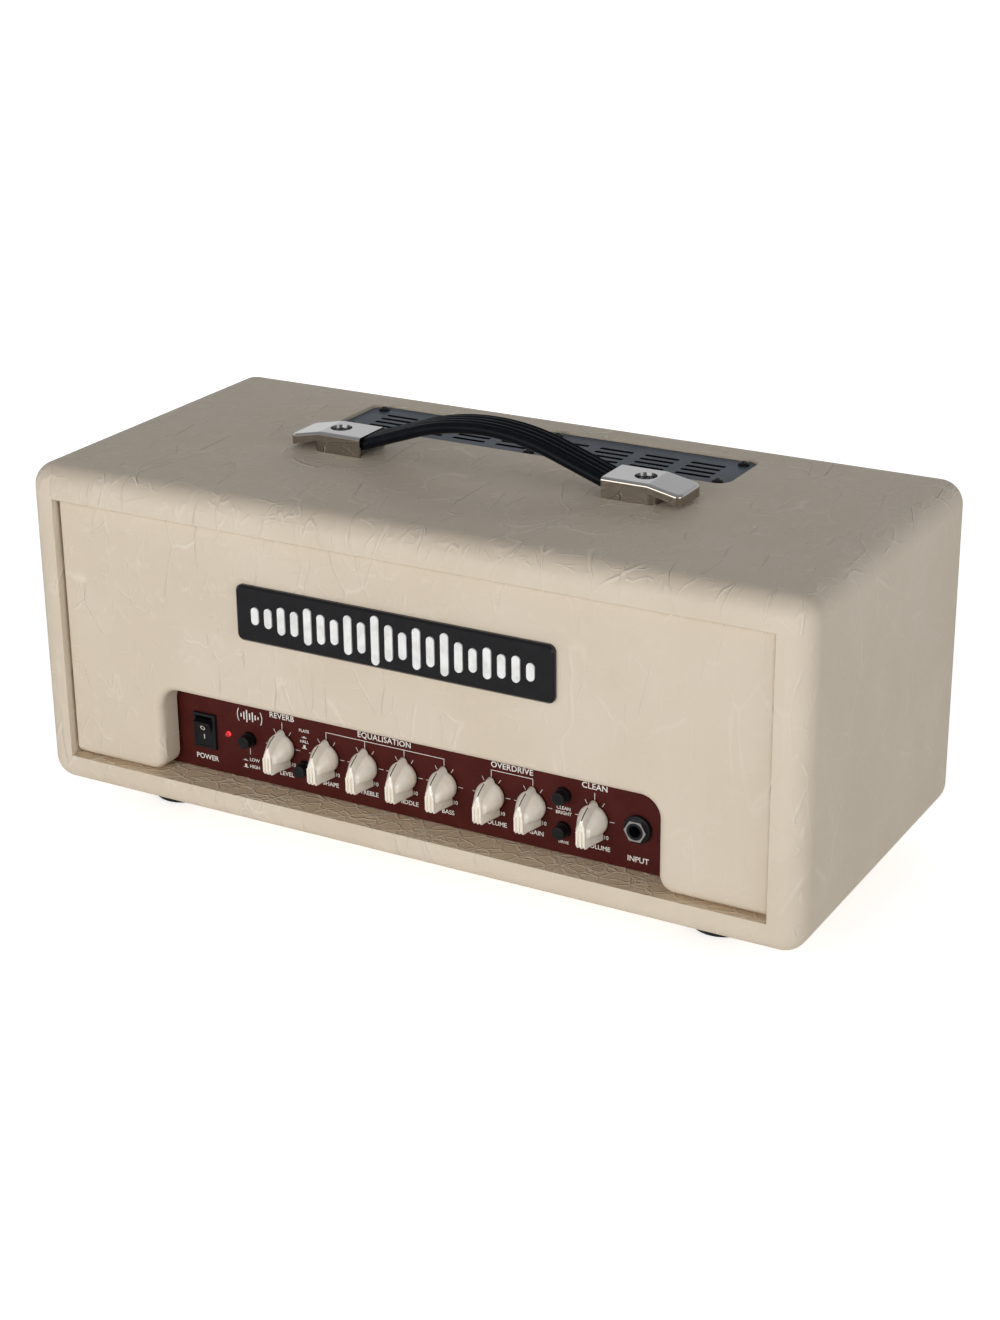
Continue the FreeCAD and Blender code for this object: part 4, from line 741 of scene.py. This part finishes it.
def strap():
    """The ribbed rubber strap, swept over the steel strip that the CAD holds inside it."""
    low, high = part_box("handle_strap")
    core_low, core_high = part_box("handle_core")
    core_half = 0.0005
    height = strap_line(core_low.z + core_half, core_high.z - core_half)
    lowest = core_low.z - 0.0023
    section = strap_section((high.y - low.y) / 2)
    middle_y = (low.y + high.y) / 2
    stations, near = 150, 1e-5
    rings = []
    for index in range(stations + 1):
        x = low.x + (high.x - low.x) * index / stations
        x = max(low.x + near, min(high.x - near, x))
        rise = (height(x + near) - height(x - near)) / (2 * near)
        up = Vector((-rise, 0, 1)).normalized()
        ring = [Vector((x, middle_y + v, height(x))) + up * w for v, w in section]
        for point in ring:
            point.z = max(point.z, lowest)
        rings.append(ring)
    shape = bmesh.new()
    loft(shape, rings)
    thing = mesh_piece("handle_strap_ribbed", from_bmesh("strap", shape), "handle", "black_rubber")
    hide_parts("handle_strap")


# ---------------------------------------------------------------- stage

def camera():
    """The viewing angle of a three-quarter view from the right, a little above."""
    azimuth, elevation, roll = math.radians(-29.51), math.radians(22.01), math.radians(-0.58)
    ca, sa, ce, se = math.cos(azimuth), math.sin(azimuth), math.cos(elevation), math.sin(elevation)
    cr, sr = math.cos(roll), math.sin(roll)
    upright = Matrix(((1, 0, 0), (0, 0, -1), (0, 1, 0)))
    turn = Matrix(((ca, -sa, 0), (sa, ca, 0), (0, 0, 1)))
    nod = Matrix(((1, 0, 0), (0, ce, -se), (0, se, ce)))
    tilt = Matrix(((cr, -sr, 0), (sr, cr, 0), (0, 0, 1)))
    right, down, forward = tilt @ upright @ nod @ turn
    lens = bpy.data.cameras.new("camera")
    lens.sensor_width = 36
    lens.lens = 67.99
    lens.clip_end = 60
    thing = bpy.data.objects.new("camera", lens)
    bpy.context.scene.collection.objects.link(thing)
    place = Matrix((right, -down, -forward)).transposed().to_4x4()
    place.translation = Vector((0.6438, -1.1296, 0.6047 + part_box("sleeve_covering")[0].z))
    thing.matrix_world = place
    bpy.context.scene.camera = thing


def area_light(name, at, towards, size, power, color=(1, 1, 1)):
    lamp = bpy.data.lights.new(name, "AREA")
    lamp.shape = "RECTANGLE"
    lamp.size, lamp.size_y = size
    lamp.energy = power
    lamp.color = color
    thing = bpy.data.objects.new(name, lamp)
    bpy.context.scene.collection.objects.link(thing)
    thing.location = at
    thing.rotation_euler = (Vector(towards) - Vector(at)).to_track_quat("-Z", "Y").to_euler()
    return thing


def world_light():
    """A soft sky, brighter low down. It is white to the camera, and a little brighter in reflections."""
    world = bpy.data.worlds.new("studio")
    bpy.context.scene.world = world
    world.use_nodes = True
    tree = world.node_tree
    back = tree.nodes["Background"]
    coords = tree.nodes.new("ShaderNodeTexCoord")
    split = tree.nodes.new("ShaderNodeSeparateXYZ")
    ramp = tree.nodes.new("ShaderNodeValToRGB")
    tree.links.new(coords.outputs["Generated"], split.inputs["Vector"])
    tree.links.new(split.outputs["Z"], ramp.inputs["Fac"])
    tree.links.new(ramp.outputs["Color"], back.inputs["Color"])
    stops = ramp.color_ramp.elements
    stops[0].position, stops[0].color = 0.0, (1.0, 1.0, 1.0, 1)
    stops[1].position, stops[1].color = 0.8, (0.42, 0.43, 0.44, 1)
    stops.new(0.38).color = (0.82, 0.83, 0.85, 1)
    stops.new(0.58).color = (0.38, 0.39, 0.41, 1)
    ray = tree.nodes.new("ShaderNodeLightPath")
    strength = 0.43
    for kind, extra in (("Is Glossy Ray", 0.30), ("Is Camera Ray", 0.9)):
        adder = tree.nodes.new("ShaderNodeMath")
        adder.operation = "MULTIPLY_ADD"
        tree.links.new(ray.outputs[kind], adder.inputs[0])
        adder.inputs[1].default_value = extra
        if isinstance(strength, float):
            adder.inputs[2].default_value = strength
        else:
            tree.links.new(strength, adder.inputs[2])
        strength = adder.outputs["Value"]
    tree.links.new(strength, back.inputs["Strength"])


def lamps():
    area_light("key_front", (-0.25, -2.3, 0.62), (0, 0, 0.12), (2.2, 1.2), 29, (1, 0.985, 0.965))
    area_light("fill_right", (2.2, -0.7, 0.55), (0, 0, 0.10), (1.2, 1.0), 10.0, (0.96, 0.98, 1))
    rim = area_light("rim_back", (-0.6, 2.1, 0.8), (0, 0, 0.13), (1.8, 0.9), 17)
    rim.visible_glossy = False


def floor():
    """Pale paper, lit up to white where the camera sees it and darker in reflections."""
    mesh = bpy.data.meshes.new("floor")
    mesh.from_pydata([(-12, -12, 0), (12, -12, 0), (12, 12, 0), (-12, 12, 0)], [], [(0, 1, 2, 3)])
    thing = bpy.data.objects.new("floor", mesh)
    bpy.context.scene.collection.objects.link(thing)
    ground = Surface("floor_white", (0.86, 0.86, 0.86), 0.7)
    dust = ground.noise(ground.position(), 400, 2)
    paper = ground.mix(dust, (0.85, 0.85, 0.85), (0.88, 0.88, 0.88))
    ray = ground.node("ShaderNodeLightPath")
    ground.set("Base Color", ground.mix(ray.outputs["Is Glossy Ray"], paper, (0.26, 0.24, 0.22)))
    ground.shader.inputs["Emission Color"].default_value = (1, 1, 1, 1)
    away = ground.node("ShaderNodeVectorMath", {"operation": "LENGTH"})
    ground.feed(away.inputs[0], ground.position())
    haze = ground.spread(away.outputs["Value"], 300, 1500, 0.42, 0.95)
    ground.set("Emission Strength", ground.math("MULTIPLY_ADD", ray.outputs["Is Camera Ray"], haze, 0.24))
    mesh.materials.append(ground.material)


knobs()
front_legends()
rocker_marks()
rear_legends()
strap()
camera()
world_light()
lamps()
floor()
bpy.context.scene.view_settings.view_transform = "Standard"
